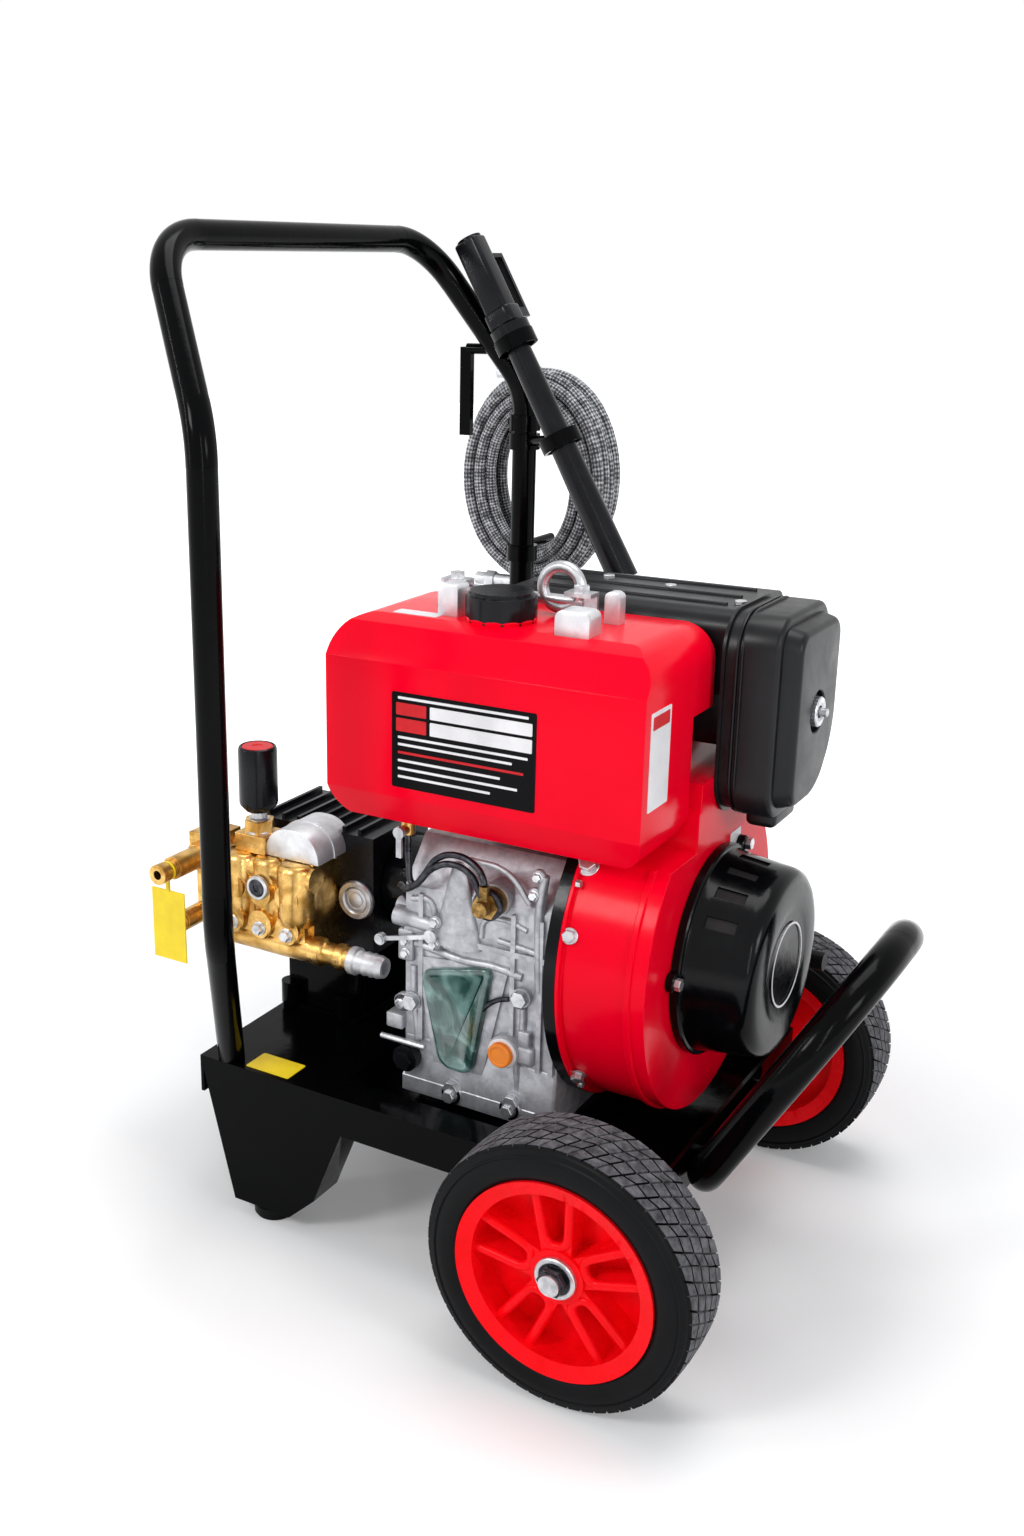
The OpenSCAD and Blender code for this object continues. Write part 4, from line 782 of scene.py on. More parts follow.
def front_sticker(name, x0, x1, z0, z1, finish, corner=1.0):
    """One on the black plate of the tank's front."""
    sticker(name, (x0, SHEET_FRONT, z0), (x1, SHEET_BACK, z1), 1, finish, corner)


sticker("front_plate", (-257, -150.5, 500), (-104, -149.6, 594), 1, black_vinyl_sheet)
for kind, x0, x1, finish in (("field", -215, -108, white_vinyl_sheet),
                             ("mark", -252, -219, signal_red_nylon)):
    for i, (z0, z1) in enumerate([(572, 584), (556, 569)]):
        front_sticker(f"front_{kind}_{i}", x0, x1, z0, z1, finish)
sticker("end_plate", (-0.4, -138, 515), (0.5, -94, 606), 0, white_vinyl_sheet)
sticker("end_plate_head", (0.4, -134, 590), (0.9, -98, 602), 0, signal_red_nylon, 1)
sticker("deck_plate", (-411, -193, 175.6), (-357, -160, 176.6), 2, yellow_vinyl_sheet)
print("stickers done")

# %% [markdown]
# A trolley tyre is cured in a mould that presses its tread into lozenges. The
# tread starts here as a band of faces that lean like the real blocks. Insetting
# every face by itself and lifting it leaves a narrow groove round each
# block, which no simple ring could show. The sides are smooth, with one raised
# line where the mould's halves met.

# %% Tyres
# The outer faces of the tread get a paler grey than the black sides.
pale_tread_top = moulded(
    "pale_tread_top", "#67666b", "#28282c", 0.85, 1.4, 0.5, 9, 0.1, shine=0.2)
ROUND, ROWS = 60, (-33.0, -20.0, -6.7, 6.7, 20.0, 33.0)
BLOCK_TURN = math.radians(360 / ROUND)
TREAD_R, TREAD_TOP_R, WAVE, LEAN = 124.6, 126.2, 0.0016, 0.55
SIDE = [(90, 30), (97, 36.5), (103, 39.6), (113, 39.4), (117.5, 37.6), (118.3, 38.6),
        (119.5, 38.4), (120.3, 36.6), (124.5, 35.2)]


def tyre(wheel, y, out):
    """One tyre about (0, y, HUB_Z), its outer side towards out."""
    crown = [(127.2 - 1.6 * (h / 33) ** 2, h) for h in ROWS]
    profile = [(r, -h) for r, h in SIDE] + crown + [(r, h) for r, h in reversed(SIDE)]
    profile.append(profile[0])
    shape = turned(profile, (0, y, HUB_Z), (0, out, 0), ROUND)
    hub = at(0, y, HUB_Z)
    band = set()
    for vert in shape.verts:
        spot = vert.co - hub
        across = abs(spot.y * 1000)
        if math.hypot(spot.x, spot.z) * 1000 > TREAD_R and across < 34:
            # the cross lines lean, and the lines that run round wave
            row = min(range(6), key=lambda i: abs(ROWS[i] - spot.y * 1000))
            lean = Matrix.Rotation(BLOCK_TURN * LEAN * (row - 2.5), 3, "Y")
            count = round(math.degrees(math.atan2(spot.z, spot.x)) / (360 / ROUND))
            vert.co = hub + lean @ spot
            if across < 30:
                vert.co.y += WAVE * (1 if count % 2 else -1)
            band.add(vert)
    blocks = [f for f in shape.faces if all(v in band for v in f.verts)]
    bmesh.ops.recalc_face_normals(shape, faces=shape.faces)
    bmesh.ops.inset_individual(shape, faces=blocks, thickness=0.0009, depth=0.0026,
                               use_even_offset=True)
    made = show(f"tyre_{wheel}_treaded", shape, black_rubber, f"wheel_{wheel}", 30,
                replaced=[f"tyre_{wheel}"])
    made.data.materials.append(pale_tread_top)
    # Faces beyond TREAD_TOP_R that don't face sideways take the paler grey.
    for face in made.data.polygons:
        spot = face.center - hub
        if math.hypot(spot.x, spot.z) * 1000 > TREAD_TOP_R and abs(face.normal.y) < 0.45:
            face.material_index = 1
    print("tyre", wheel, "faces", len(made.data.polygons))


tyre("near", -260, -1)
tyre("far", 260, 1)

# %% [markdown]
# Fuel runs to the injection pump in a thin steel pipe, and what isn't burnt
# runs back in a second one. Both are bent on a former, so their corners are even
# arcs. A Bezier curve with automatic handles gives such a line and its bevel the
# tube. The tube is then an ordinary mesh.

# %% Fuel pipes
def tube_through(points, radius):
    """A round tube along a smooth line through places on the drawing."""
    line = bpy.data.curves.new("tube", "CURVE")
    line.dimensions = "3D"
    line.bevel_depth, line.bevel_resolution = radius / 1000, 4
    line.resolution_u, line.use_fill_caps = 8, True
    path = line.splines.new("BEZIER")
    path.bezier_points.add(len(points) - 1)
    for knot, place in zip(path.bezier_points, points):
        knot.co = at(*place)
        knot.handle_left_type = knot.handle_right_type = "AUTO"
    held = bpy.data.objects.new("tube", line)
    scene.collection.objects.link(held)
    ready = bpy.context.evaluated_depsgraph_get()
    mesh = bpy.data.meshes.new_from_object(held.evaluated_get(ready))
    bpy.data.objects.remove(held)
    shape = bmesh.new()
    shape.from_mesh(mesh)
    bpy.data.meshes.remove(mesh)
    bmesh.ops.remove_doubles(shape, verts=shape.verts, dist=1e-6)
    return shape


for name, node, points in (
    ("fuel_pipe_feed", "fuel_hose_feed",
     [(-262, -112, 439), (-257, -119, 412), (-249, -123, 391), (-238, -125, 401),
      (-220, -126, 425), (-199, -127, 433), (-176, -130, 428), (-165, -135, 421),
      (-161, -138, 413)]),
    ("fuel_pipe_return", "fuel_hose_return",
     [(-270, -100, 364.6), (-271, -112, 382), (-258, -122, 384), (-243, -127, 394),
      (-222, -129, 416), (-199, -130, 424), (-179, -131, 417), (-169, -134, 404),
      (-163, -136, 397)]),
):
    show(name, tube_through(points, 3.4), phosphated_steel, replaced=[node])
union = turned([(13.5, 0), (15.5, 1), (15.5, 5), (13.5, 6), (11, 6), (11, 0), (13.5, 0)],
               (-160.5, -128, 391), NEAR)
show("fuel_union_ring", union, phosphated_steel)
print("fuel pipes 6.8 mm across")

# %% [markdown]
# The crankcase's near side is a casting with ribs, bosses and a fairing for the
# pump's drive, all joined to the wall by a small fillet that the mould needs.
# Each is a simple form half sunk in the wall: a flattened cone, short tubes,
# bars along a bent line, and turned bosses that carry the screws.

# %% Ribs and bosses of the crankcase
WALL = -114


def rib(points, radius):
    """A round-backed rib along places (x, z) on the crankcase's near wall."""
    return tube_through([(x, WALL, z) for x, z in points], radius)


def soft_lump(low, high, radius):
    """A block with all its edges rounded."""
    lump = block(low, high)
    soften(lump, lump.edges[:], radius, 3)
    return lump


ribs = bmesh.new()
for points, radius in (
    ([(-251, 325), (-226, 322), (-196, 318.5), (-160, 320), (-130, 316)], 4.5),
    ([(-157, 349), (-134, 347), (-108, 344)], 3.5),
    ([(-109, 426), (-113, 392), (-113, 350), (-111, 306)], 5),
    ([(-255, 372), (-236, 374), (-229, 360), (-231, 330)], 3.5),
    ([(-128, 300), (-128, 262), (-133, 226), (-131, 186)], 4),
    ([(-253, 300), (-252, 262), (-248, 226), (-250, 186)], 4),
    ([(-245, 182), (-200, 178), (-150, 182)], 4),
    ([(-176, 348), (-172, 366), (-150, 372), (-126, 366)], 3),
    ([(-124, 394), (-150, 421), (-190, 426)], 3),
):
    add_in(ribs, rib(points, radius))
for low, high in (((-283, -121, 226), (-263, -104, 243)),
                  ((-131, -121, 244), (-117, -110, 262)),
                  ((-270, -119, 304), (-252, -104, 338)),
                  ((-100, -120, 300), (-92, -100, 338))):
    add_in(ribs, soft_lump(low, high, 2.5))
skirt = block((-262.5, -121, 160.4), (-90.5, -108, 222))
for vert in skirt.verts:
    if vert.co.z > 0.2 and vert.co.y < at(0, -115, 0).y:
        vert.co.y = at(0, WALL - 0.6, 0).y
soften(skirt, sharp(skirt), 2.5, 3)
add_in(ribs, skirt)
FOOT_SCREWS = ((-203.5, 171), (-136.8, 174))
for x, z in FOOT_SCREWS:
    add_in(ribs, turned([(0, 0), (12, 0), (11, 5), (9.5, 6), (0, 6)], (x, -117, z), NEAR))
show("crankcase_ribs", ribs, sand_cast_aluminium, smooth=50)

fairing = turned([(0, 0), (27, 0), (27, 4), (7, 84), (5, 88), (0, 88)],
                 (-202.5, WALL, 333), UP)
bmesh.ops.scale(fairing, vec=(1, 0.42, 1), verts=fairing.verts,
                space=Matrix.Translation(-at(0, WALL, 0)))
add_in(fairing, turned([(0, 0), (8, 0), (10.5, 1), (10.5, 14), (9, 15.5), (9, 62),
                        (10.5, 63.5), (10.5, 76), (8, 78), (0, 78)],
                       (-276, WALL + 2, 350), (1, 0, -0.06)))
for x, z, r, deep in ((-263.9, 257, 10, 7), (-130.5, 293.5, 10, 6), (-224, 355.6, 7, 10),
                      (-225, 331.7, 7, 10), (-260.6, 326.6, 6, 6), (-260.5, 312.9, 6, 6),
                      (-114.5, 425, 7, 5), (-118, 406, 7, 5), (-96, 318, 7, 6)):
    add_in(fairing, turned(button(r, deep), (x, WALL + 1, z), NEAR, 32))
show("crankcase_bosses", fairing, sand_cast_aluminium, smooth=50)
print("ribs and bosses on the wall at y =", WALL)

# %% [markdown]
# Screws are told apart by their heads: a low hexagon with a turned washer face.
# One short function makes it from two turned forms, the hexagon from a spin
# of six steps.

# %% Screws on the crankcase
CRANK_Y, CRANK_Z = 18, 332


def hex_screw(place, axis, across, tall, washer):
    """A hexagon head on a washer."""
    far = across / 2 / math.cos(math.radians(30))
    shape = turned(button(washer, 1.6, 0.5, 0.4), place, axis, 24)
    head = turned([(0, 1.5), (far, 1.5), (far, tall - 0.8), (far - 0.8, tall), (0, tall)],
                  place, axis, 6)
    return add_in(shape, head)


screws, washers = bmesh.new(), bmesh.new()
for x, z, deep in ((-224, 355.6, 10), (-225, 331.7, 10), (-260.6, 326.6, 6),
                   (-260.5, 312.9, 6), (-114.5, 425, 5), (-118, 406, 5),
                   (-130.5, 293.5, 6), (-96, 318, 6)):
    add_in(screws, hex_screw((x, WALL - deep + 1.2, z), NEAR, 8, 5.5, 5.4))
for x, z in FOOT_SCREWS:
    add_in(screws, hex_screw((x, -122.8, z), NEAR, 12, 8, 8))
for turn, big in ((42, 1.35), (18, 1.0), (-40, 1.0)):
    up, near = math.sin(math.radians(turn)), math.cos(math.radians(turn))
    add_in(screws, hex_screw((-70, CRANK_Y - 164 * near, CRANK_Z + 164 * up),
                             (0.2, -near, up), 11 * big, 8 * big, 8 * big))
add_in(screws, turned([(0, 0), (6, 0), (6, 5), (4.5, 6), (4.5, 3), (0, 3)],
                      (-263.9, WALL - 5.5, 257), NEAR))
add_in(screws, turned([(0, 0), (3.2, 0), (3.2, 52), (0, 52)],
                      (-286, -124, 216.5), TO_BUMPER, 24))
show("crankcase_screws", screws, zinc_plated_steel)
for x, y, z, r in ((-203.5, -122.6, 171, 11), (-136.8, -122.6, 174, 11),
                   (-263.9, WALL - 5.8, 257, 9.2), (-130.5, WALL - 4.8, 293.5, 9.2)):
    add_in(washers, turned([(0, 0), (r, 0), (r - 0.4, 0.8), (0, 0.8)], (x, y, z), NEAR))
show("dark_washers", washers, phosphated_steel)
clip = tube_through([(-175.3, -117, 254), (-173.5, -120, 266), (-168, -121, 276),
                     (-154, -120, 288), (-142, -119, 292)], 2.6)
show("drain_clip", clip, phosphated_steel)
print("screws done")

# %% [markdown]
# The crankcase's far wall is opened only for repairs. A cast cover closes it on a
# gasket, held by six screws, and upright ribs stiffen the thin wall beside it.
# Each is a block with rounded edges, sunk a little into the wall.

# %% Far wall of the crankcase
cover = together(cushion((-256, 140, 204), (-146, 149, 318), 1, 16, 6, 2, 3),
                 cushion((-238, 148, 224), (-164, 152, 298), 1, 10, 5, 1.6, 2))
for low, high in (((-271, 139, 192), (-265, 148, 362)), ((-134, 139, 192), (-128, 148, 362)),
                  ((-112, 139, 192), (-106, 148, 362)), ((-276, 139, 340), (-94, 146, 346))):
    bar = block(low, high)
    soften(bar, sharp(bar), 2, 2)
    add_in(cover, bar)
show("far_wall_cover", cover, sand_cast_aluminium, smooth=50)
screws = bmesh.new()
for x in (-246, -201, -156):
    for z in (214, 308):
        add_in(screws, hex_screw((x, 148.6, z), FAR, 9, 6, 6.5))
add_in(screws, hex_screw((-119, 143, 204), FAR, 15, 9, 10.5))
show("far_wall_screws", screws, zinc_plated_steel)
print("far wall done")

# %% [markdown]
# The cover over the timing gears is pressed from sheet into a shallow pan, so its
# corners are round and its middle lies a little lower than its rim. It starts
# as one flat face with four corners, which is extruded, rounded and inset.

# %% Timing cover
cover = bmesh.new()
rim = [cover.verts.new(at(x, -110, z))
       for x, z in ((-241.5, 301.2), (-158.3, 321.7), (-180.8, 197.5), (-218.2, 199.2))]
grown = bmesh.ops.extrude_face_region(cover, geom=[cover.faces.new(rim)])
bmesh.ops.translate(cover, vec=(0, -0.014, 0), verts=picked(grown["geom"], VERT))
bmesh.ops.recalc_face_normals(cover, faces=cover.faces)
soften(cover, running_along(cover, 1), 13, 6)
cover.normal_update()
soften(cover, list(outermost(cover, NEAR).edges), 3.5, 4)
face = outermost(cover, NEAR)
for thick, deep in ((0.003, 0.0), (0.0022, -0.0022)):
    bmesh.ops.inset_region(cover, faces=[face], thickness=thick, depth=deep,
                           use_even_offset=True)
made = show("timing_cover", cover, green_clear_coat, smooth=50,
            replaced=["side_panel"])
print("timing cover faces", len(made.data.polygons))

# %% [markdown]
# The oil filler is closed by a flat cap of orange nylon with a milled edge. It
# turns in a pale seal on a cast flange.

# %% Oil filler cap
FILLER_X, FILLER_Z = -144, 236
filler = turned([(0, 0), (12.6, 0), (12.6, 5.4), (11.4, 6.8), (9.6, 6.8), (8.8, 6), (0, 6)],
                (FILLER_X, -127.6, FILLER_Z), NEAR, 64)
filler.normal_update()
milled = [f for f in filler.faces if abs(f.normal.y) < 0.1][::2]
bmesh.ops.inset_individual(filler, faces=milled, thickness=0.0002, depth=-0.0006)
show("filler_cap", filler, orange_nylon, body_of["oil_cap"], 30,
     replaced=["oil_cap"])
seal = turned([(9, 0), (15, 0), (15.5, 0.8), (15.5, 2.6), (14.6, 3.4), (9, 3.4), (9, 0)],
              (FILLER_X, -124.2, FILLER_Z), NEAR, 64)
show("filler_seal", seal, white_vinyl_sheet)
flange = turned(button(17.5, 10.2, 2.5, 2.2), (FILLER_X, WALL, FILLER_Z), NEAR)
add_in(flange, soft_lump((-132, -123, 226), (-112, -110, 246), 4))
show("filler_flange", flange, sand_cast_aluminium, smooth=50)
print("filler cap 25 mm across")

# %% [markdown]
# The pressure regulator's knob is a tall moulded cup with a smooth side and
# a red disc snapped into its top. A nut and two washers under
# it lock the setting.

# %% Pressure knob
KNOB = (-467, -85)
cup = turned([(0, 0), (14, 0), (15.5, 1.5), (20.2, 7), (21, 10), (21, 68), (20, 71),
              (18.6, 72), (17.6, 71.6), (17.2, 69.6), (0, 69.6)], (*KNOB, 418), UP, 72)
show("regulator_knob", cup, black_gloss_abs, "pressure_knob", 30,
     replaced=["unloader_knob"])
disc = turned([(0, 0), (16.8, 0), (17, 1.4), (16, 2.2), (6, 2.2), (5.4, 1.4), (0, 1.4)],
              (*KNOB, 487.6), UP)
show("regulator_disc", disc, signal_red_nylon, "pressure_knob")
stack = together(
    turned(button(16, 2.6, 0.6, 0.6), (*KNOB, 394), UP),
    turned([(0, 0), (14.4, 0.6), (14.4, 8), (13.4, 9), (0, 9)], (*KNOB, 396.4), UP, 6),
    turned([(0, 0), (11, 0), (11, 4), (9, 5), (9, 14), (0, 14)], (*KNOB, 405), UP))
show("regulator_nuts", stack, zinc_plated_steel, smooth=30)
print("knob 42 mm across")

# %% [markdown]
# Three round chambers stand in the front of the brass head, one for each
# piston's outlet valve. The middle one is closed by a dark plug in a bright
# ring. Small screws hold the inlet valves below. Over the head lies an
# arched plate that guides the drip water away.

# %% Valve chambers of the pump
INLET_VALVES, INLET_Z, PLUG = (-481.5, -445.5, -409.5), 297, (-445.5, -117.4, 344)
chambers = bmesh.new()
for x, y, r in ((-481.5, -99, 21), (-445.5, -96, 19), (-407.5, -99, 22)):
    add_in(chambers, turned([(0, 0), (r - 8, 0), (r - 1.5, 6), (r, 14), (r, 66),
                             (r - 2.5, 71), (r - 6, 73), (0, 73)], (x, y, 301), UP))
for x in INLET_VALVES:
    add_in(chambers, turned(button(13, 6.5, 1.5, 1.5), (x, -112, INLET_Z), NEAR))
show("valve_chambers", chambers, forged_brass, smooth=40)
plugs = turned([(9.5, 0), (13.5, 0), (13.5, 3.5), (12.5, 4.6), (10.2, 4.6), (9.5, 3.8),
                (9.5, 0)], PLUG, NEAR)
for x in INLET_VALVES:
    add_in(plugs, hex_screw((x, -118.2, INLET_Z), NEAR, 11, 7, 8))
show("head_screws", plugs, zinc_plated_steel, smooth=30, replaced=["head_plugs"])
dark_plug = turned([(0, 0), (9.6, 0), (9.6, 4.4), (8.4, 5.4), (4, 5.4), (3.4, 4), (0, 4)],
                   PLUG, NEAR)
show("head_dark_plug", dark_plug, phosphated_steel)
arch = block((-449, -100, 374.5), (-380, -34, 409))
soften(arch, running_along(arch, 1, above=0.38), 31, 10)
soften(arch, sharp(arch), 1.5, 2)
seam = block((-450, -70, 374.5), (-379, -67, 410))
soften(seam, running_along(seam, 1, above=0.38), 31.6, 10)
show("drip_plate", add_in(arch, seam), satin_aluminium, smooth=40)
print("chambers 38 to 44 mm across")

# %% [markdown]
# Water comes in through a brass socket and a plated hose tail. The oil level
# shows in a round window with a bright bezel, behind whose glass a polished
# disc throws the light back.

# %% Water inlet and oil window
INLET, WINDOW = (-384, -98, 278), (-365, -48, 324)
socket = turned([(0, 0), (15.5, 0), (15.5, 9), (13, 11), (12, 14), (12, 26), (14.5, 28),
                 (14.5, 37), (13, 39), (13, 45), (0, 45)], INLET, TO_BUMPER)
show("inlet_socket", socket, forged_brass, replaced=["inlet_fitting"])
tail = turned([(0, 44), (14, 44), (15, 45.5), (15, 52), (13, 54), (12, 58), (12, 62),
               (13.2, 63), (11.6, 70), (13.2, 71), (11.6, 78), (12.8, 79), (10.5, 85.9),
               (7, 85.9), (7, 60), (0, 60)], INLET, TO_BUMPER)
show("inlet_tail", tail, satin_aluminium, smooth=30)
bezel = turned([(0, 0), (21.5, 0), (22, 1), (22, 4), (20.4, 6.2), (15.6, 6.2), (13.6, 5),
                (13.6, 2), (0, 2)], WINDOW, NEAR, 64)
show("oil_window_bezel", bezel, zinc_plated_steel, body_of["sight_glass"], 30,
     replaced=["sight_glass"])
glass = turned([(0, 2), (13.5, 2), (13.5, 4), (11, 4.6), (10.4, 3.4), (8.6, 3.4), (8, 4.8),
                (4, 6), (0, 6.2)], WINDOW, NEAR)
show("oil_window_glass", glass, satin_aluminium, body_of["sight_glass"], 50)
print("oil window 44 mm across")

# %% [markdown]
# The recoil starter's cover is a deep-drawn steel drum. A lathe profile gives its
# wide flange, its slightly conical wall and the soft turn into the flat face.
# Cooling slots are punched through the top of the wall: here the faces between two
# rings of the profile are pushed in, two at a time, and painted inside.

# %% Starter drum
DRUM = (11, CRANK_Y, CRANK_Z)
SLOT_TURN, FIRST_SLOT = 3.75, -56
drum = turned(
    [(0, 70), (82, 70), (90, 64), (97, 8), (100, 2), (100, 0), (106, 0), (106, 7),
     (104.6, 8.4), (102, 9), (100.6, 12), (99.2, 20), (95.4, 50), (94.6, 58), (93.4, 66),
     (90.5, 71.5), (86, 74.6), (80, 75.6), (60, 76), (56, 75.4), (50, 74.8), (0, 74.8)],
    DRUM, TO_BUMPER, 96)
drum.normal_update()
slots = {}
for face in drum.faces:
    spot = (face.calc_center_median() - at(*DRUM)) * 1000
    if 20 < spot.x < 50 and face.normal.dot(Vector((0, spot.y, spot.z))) > 0:
        turn = math.degrees(math.atan2(spot.y, spot.z))
        count = math.floor((turn - FIRST_SLOT) / SLOT_TURN)
        if 0 <= count < 30 and count % 5 in (0, 1):
            slots.setdefault(count // 5, []).append(face)
punched = []
for faces in slots.values():
    for thick, deep in ((0.0004, 0.0), (0.0003, -0.0022)):
        bmesh.ops.inset_region(drum, faces=faces, thickness=thick, depth=deep)
    punched += [f.calc_center_median().copy() for f in faces]
made = show("starter_drum", drum, black_stoved_enamel, smooth=30,
            replaced=["starter_housing"])
made.data.materials.append(black_heat_paint)
for face in made.data.polygons:
    if min((face.center - p).length for p in punched) < 2e-4:
        face.material_index = 1
print("drum slots", len(slots))

# %% [markdown]
# Three ears clamp the drum to the fan housing. Each is a flat tongue under the
# flange with a screw on it.

# %% Drum ears
EAR_R, ears = 108, bmesh.new()
for turn in (27, 147, 267):
    a = math.radians(turn)
    place = (DRUM[0], CRANK_Y + EAR_R * math.sin(a), CRANK_Z - EAR_R * math.cos(a))
    add_in(ears, turned(button(10, 7.4, 0.8), place, TO_BUMPER, 32))
show("starter_ears", ears, black_stoved_enamel, smooth=30)
print("ears on a circle", 2 * EAR_R, "mm across")

# %% [markdown]
# The air cleaner's canister is a moulded box with very round corners. Two lips
# show where it closes on its base, a smaller panel stands proud of its face,
# and a round well in that panel holds the wing nut's washer. The well starts as
# a circle that is bridged to the panel's edge and pushed in.

# %% Air canister
CAN_Y, CAN_Z, FACE_X = 70, 572, 80.8


def rounded_slab(x0, x1, wide, high, corner):
    """A slab across the machine, with its corners rounded seen along x."""
    slab = block((x0, CAN_Y - wide / 2, CAN_Z - high / 2),
                 (x1, CAN_Y + wide / 2, CAN_Z + high / 2))
    soften(slab, running_along(slab, 0), corner, 8)
    return slab


can = block((29, CAN_Y - 71.5, CAN_Z - 97.5), (64, CAN_Y + 71.5, CAN_Z + 97.5))
cut_off(can, (29, CAN_Y + 71.5, 532), (0, 0.766, -0.643))
soften(can, running_along(can, 0), 30, 8)
can.normal_update()
soften(can, list(outermost(can, TO_BUMPER).edges), 5, 4)
front = outermost(can, TO_BUMPER)
bmesh.ops.inset_region(can, faces=[front], thickness=0.005, depth=0.0, use_even_offset=True)
grown = bmesh.ops.extrude_face_region(can, geom=[front])
top = picked(grown["geom"], VERT)
bmesh.ops.delete(can, geom=[front], context="FACES_ONLY")
bmesh.ops.translate(can, vec=(0.0168, 0, 0), verts=top)
bmesh.ops.scale(can, vec=(1, 0.93, 0.95), verts=top,
                space=Matrix.Translation(-at(64, CAN_Y, CAN_Z)))
soften(can, list(outermost(can, TO_BUMPER).edges), 5, 4)
front = outermost(can, TO_BUMPER)
rim = list(front.edges)
bmesh.ops.delete(can, geom=[front], context="FACES_ONLY")
centre = at(FACE_X, CAN_Y, CAN_Z)
well = bmesh.ops.create_circle(
    can, cap_ends=False, radius=0.0215, segments=48,
    matrix=Matrix.Translation(centre) @ Matrix.Rotation(math.pi / 2, 4, "Y"))
ring = list(dict.fromkeys(e for v in well["verts"] for e in v.link_edges))
bmesh.ops.bridge_loops(can, edges=rim + ring)
for inward, shrink in ((0.001, 0.95), (0.005, 0.98)):
    deeper = bmesh.ops.extrude_edge_only(can, edges=ring)["geom"]
    ring, moved = picked(deeper, EDGE), picked(deeper, VERT)
    bmesh.ops.translate(can, vec=(-inward, 0, 0), verts=moved)
    bmesh.ops.scale(can, vec=(1, shrink, shrink), verts=moved,
                    space=Matrix.Translation(-centre))
bmesh.ops.contextual_create(can, geom=ring)
for x0, x1 in ((22.4, 25.6), (27.6, 30.6)):
    lip = rounded_slab(x0, x1, 148, 200, 42)
    soften(lip, sharp(lip), 1.2, 2)
    add_in(can, lip)
lug = block((32, 26, 462), (62, 86, 480))
soften(lug, lug.edges[:], 6, 4)
together(can, rounded_slab(13.2, 28, 142, 194, 39), lug)
made = show("canister_shell", can, black_etched_abs,
            body_of["air_canister"], 32, replaced=["air_canister"])
print("canister faces", len(made.data.polygons))

# %% [markdown]
# The nut in the well is turned from bar: a ring with a knurled edge, so that a
# hand can do it up, round the end of the stud.

# %% Ring nut
nut = turned([(6.4, 0), (14, 0), (14.6, 0.8), (14.6, 6.4), (13.6, 7.6), (9, 7.6), (7.6, 6.6),
              (6.4, 6.6), (6.4, 0)], (76.5, CAN_Y, CAN_Z), TO_BUMPER)
edge = [f for f in nut.faces
        if (f.calc_center_median() - at(0, CAN_Y, CAN_Z)).yz.length > 0.0143]
bmesh.ops.inset_individual(nut, faces=edge[::2], thickness=0.0002, depth=-0.0012)
add_in(nut, turned(button(4.3, 16.8, 0.9, 0.8), (74, CAN_Y, CAN_Z), TO_BUMPER, 24))
show("ring_nut", nut, zinc_plated_steel, body_of["wing_nut"], 30,
     replaced=["wing_nut"])
print("ring nut 29 mm across")

# %% [markdown]
# The case behind the canister is stiffened by ribs that run with its length,
# and its lid has a narrow flange. Both are shallow rounded bars on its top.

# %% Ribs of the air case
RIB_ROWS, case_ribs = (52, 92, 132), bmesh.new()
for y in RIB_ROWS:
    bar = block((-214, y - 3, 664), (-8, y + 3, 670.4))
    soften(bar, running_along(bar, 0) + running_along(bar, 2), 2.4, 3)
    add_in(case_ribs, bar)
show("air_case_ribs", case_ribs, black_etched_abs, body_of["air_case"])
print("case ribs", len(RIB_ROWS))

# %% [markdown]
# The gun's grip is a squared bar with soft corners, wider at its shoulder,
# followed by the ribbed collar that locks the lance. The gun hangs head down at
# an angle, so these pieces are made upright at the drawing's origin and then turned
# by one matrix to the gun's own line.

# %% Grip and collar of the gun
GUN_TOP = at(-403.3, 246, 998.1)
GUN_TURN = Matrix.Rotation(math.acos(-0.8704), 3, "Y")


def to_gun(shape):
    """Moves a form from the ground under the axle to the gun's line."""
    bmesh.ops.translate(shape, vec=-at(0, 0, 0), verts=shape.verts)
    bmesh.ops.rotate(shape, cent=(0, 0, 0), matrix=GUN_TURN, verts=shape.verts)
    bmesh.ops.translate(shape, vec=GUN_TOP, verts=shape.verts)
    return shape


grip = together(
    cushion((-14.6, -14.8, -4), (14.6, 13, 88), 2, 5, 4, 3, 3),
    cushion((-17, -17, 80), (17, 15, 100), 2, 7, 4, 3, 3),
    turned([(0, 98), (16, 98), (19.5, 100), (22.3, 102), (22.3, 105), (20, 106),
            (22.3, 107), (22.3, 110.6), (17, 111.2), (15.2, 112), (15.2, 119),
            (13.6, 120.6), (0, 120.6)], (0, 0, 0), UP))
show("gun_grip", to_gun(grip), black_gloss_abs, "gun", 40)
print("grip 29 mm wide")
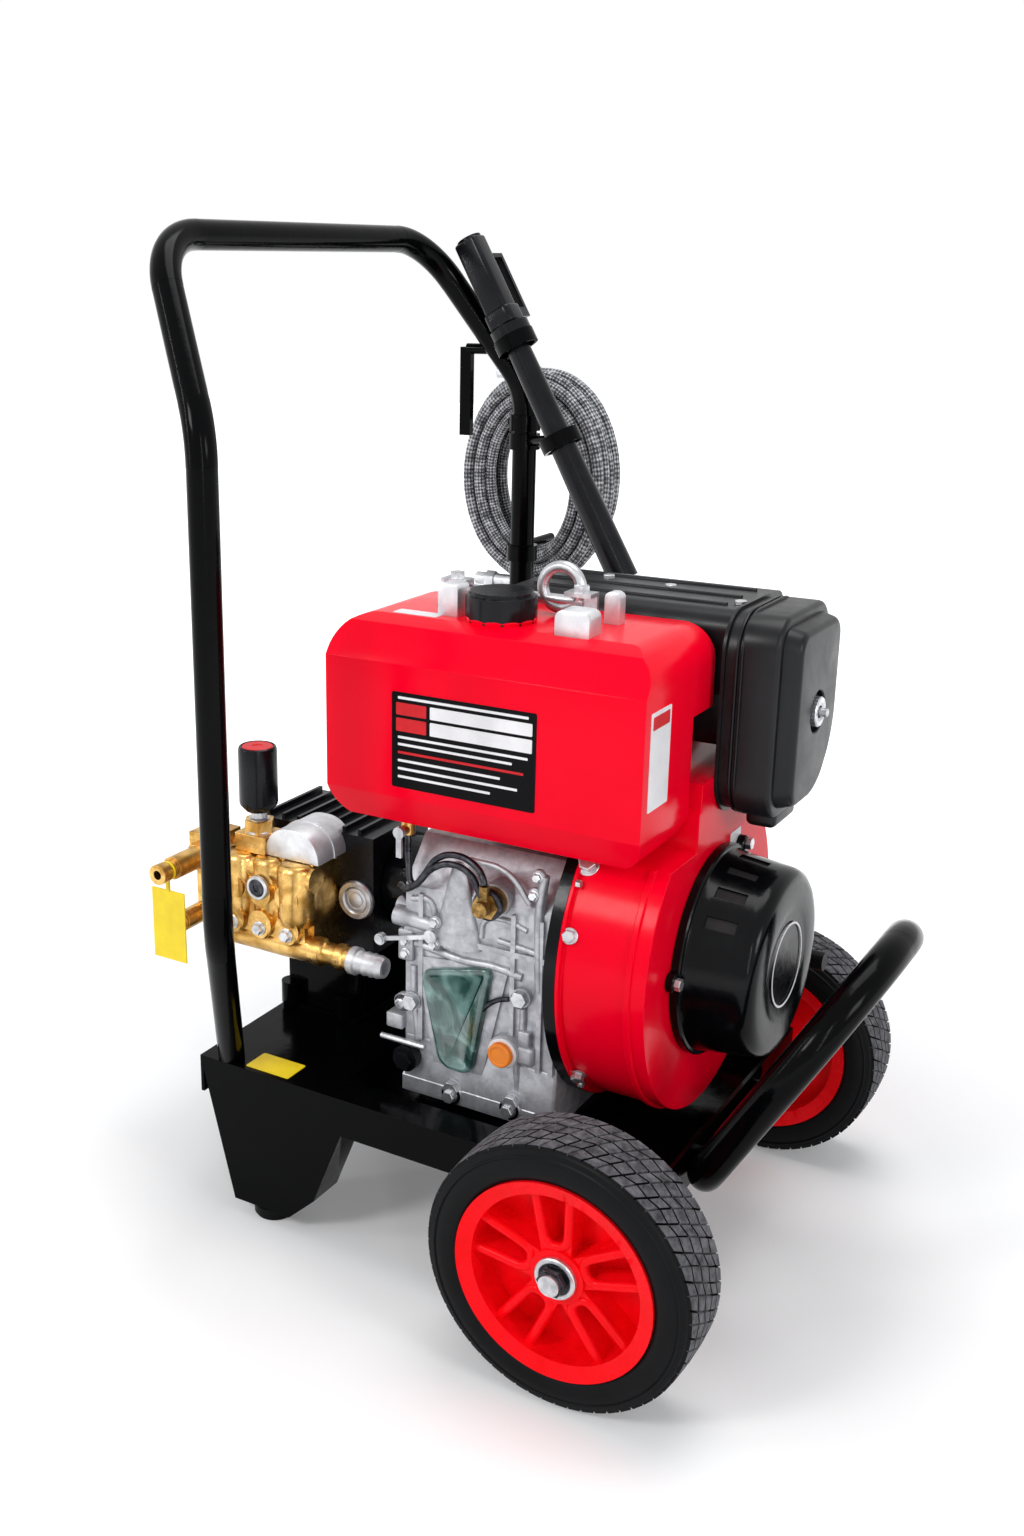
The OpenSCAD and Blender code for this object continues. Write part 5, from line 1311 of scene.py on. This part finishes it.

# %% [markdown]
# Small things finish the tank's top and the fan housing: a thin pale strip on
# the tank's top, a bare label, plain rules on the front plate, and bright blocks
# that clamp the rod.

# %% Small trim
sticker("tank_strip", (-285, -105, 657.4), (-237, -88, 658.4), 2, white_vinyl_sheet)
sticker("fan_label", (9.7, 52, 423), (10.5, 80, 441), 0, white_vinyl_sheet)
for i, (z, x1, finish) in enumerate([
        (549, -112, white_vinyl_sheet), (542, -128, white_vinyl_sheet),
        (534, -116, signal_red_nylon), (526, -140, white_vinyl_sheet),
        (518, -122, white_vinyl_sheet), (510, -150, white_vinyl_sheet)]):
    front_sticker(f"front_rule_{i}", -250, x1, z, z + 2.4, finish, 0.6)
front_sticker("front_head", -250, -112, 587.5, 590, white_vinyl_sheet, 0.6)
clamps = bmesh.new()
for low, high, round_mm in (((-242, -93, 656), (-220, -70, 689), 5),
                            ((-110, -110, 656), (-75, -84, 681), 8),
                            ((-92, -44, 657), (-76, -30, 688), 6)):
    clamp = block(low, high)
    soften(clamp, running_along(clamp, 1, above=0.67), round_mm, 5)
    soften(clamp, sharp(clamp), 1.2, 2)
    add_in(clamps, clamp)
show("rod_clamps", clamps, satin_aluminium)
print("trim done")

# %% [markdown]
# Each pair of spokes on the moulded rim is one rib bent back on itself: it
# comes in from the rim, turns close to the hub and goes out again, and its back is
# round so that it leaves the mould. Five such tubes lie along the solid spokes.

# %% Ribs of the rims
def rim_rib(turn, y):
    """A U-shaped rib, its middle at an angle in degrees round the wheel."""
    half = [(86, 17.8), (70, 16), (54, 14.2), (42, 12.8), (34, 11), (29, 6.5), (27.5, 0)]
    line = [(far, -w) for far, w in half] + [(far, w) for far, w in half[-2::-1]]
    c, s = math.cos(math.radians(turn)), math.sin(math.radians(turn))
    return tube_through([(far * c - w * s, y, HUB_Z + far * s + w * c)
                         for far, w in line], 4.6)


SPOKES, FIRST_SPOKE = 5, 96
for name, y in (("near", -283), ("far", 283)):
    ribs = bmesh.new()
    for k in range(SPOKES):
        add_in(ribs, rim_rib(FIRST_SPOKE + 360 // SPOKES * k, y))
    show(f"rim_ribs_{name}", ribs, red_polypropylene, f"wheel_{name}", 60)
print("rim ribs", 2 * SPOKES)

# %% [markdown]
# A turned steel ring sits in the middle of each rim and laps over the edge of the
# nut's washer, so that no dirt reaches the bearing.

# %% Hub rings
for name, y, out in (("near", -288.1, -1), ("far", 288.1, 1)):
    shape = turned([(15.2, 3.1), (15.2, 3.7), (16, 4.3), (19, 4.3), (19.9, 3.4), (19.9, 0),
                    (18.3, 0), (18.3, 3.1), (15.2, 3.1)], (0, y, HUB_Z), (0, out, 0), 64)
    show(f"hub_ring_{name}", shape, zinc_plated_steel, f"wheel_{name}")
print("hub rings 40 mm across")

# %% [markdown]
# The starter drum's flat face carries one thin white ring, a plain trim line. It is
# made as a flat turned band that stands a millimetre proud of the face.

# %% Trim ring on the starter
ring = turned([(40.2, 0), (40.2, 0.35), (42.4, 0.35), (42.4, 0), (40.2, 0)],
              (DRUM[0] + 76, CRANK_Y, CRANK_Z), TO_BUMPER, 96)
show("starter_trim_ring", ring, white_vinyl_sheet)
print("trim ring 84 mm across")

# %% [markdown]
# The last cell compares the visual model's box with the solids' box, because
# looks may not change the machine's size.

# %% Sizes and the end
low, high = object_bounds()
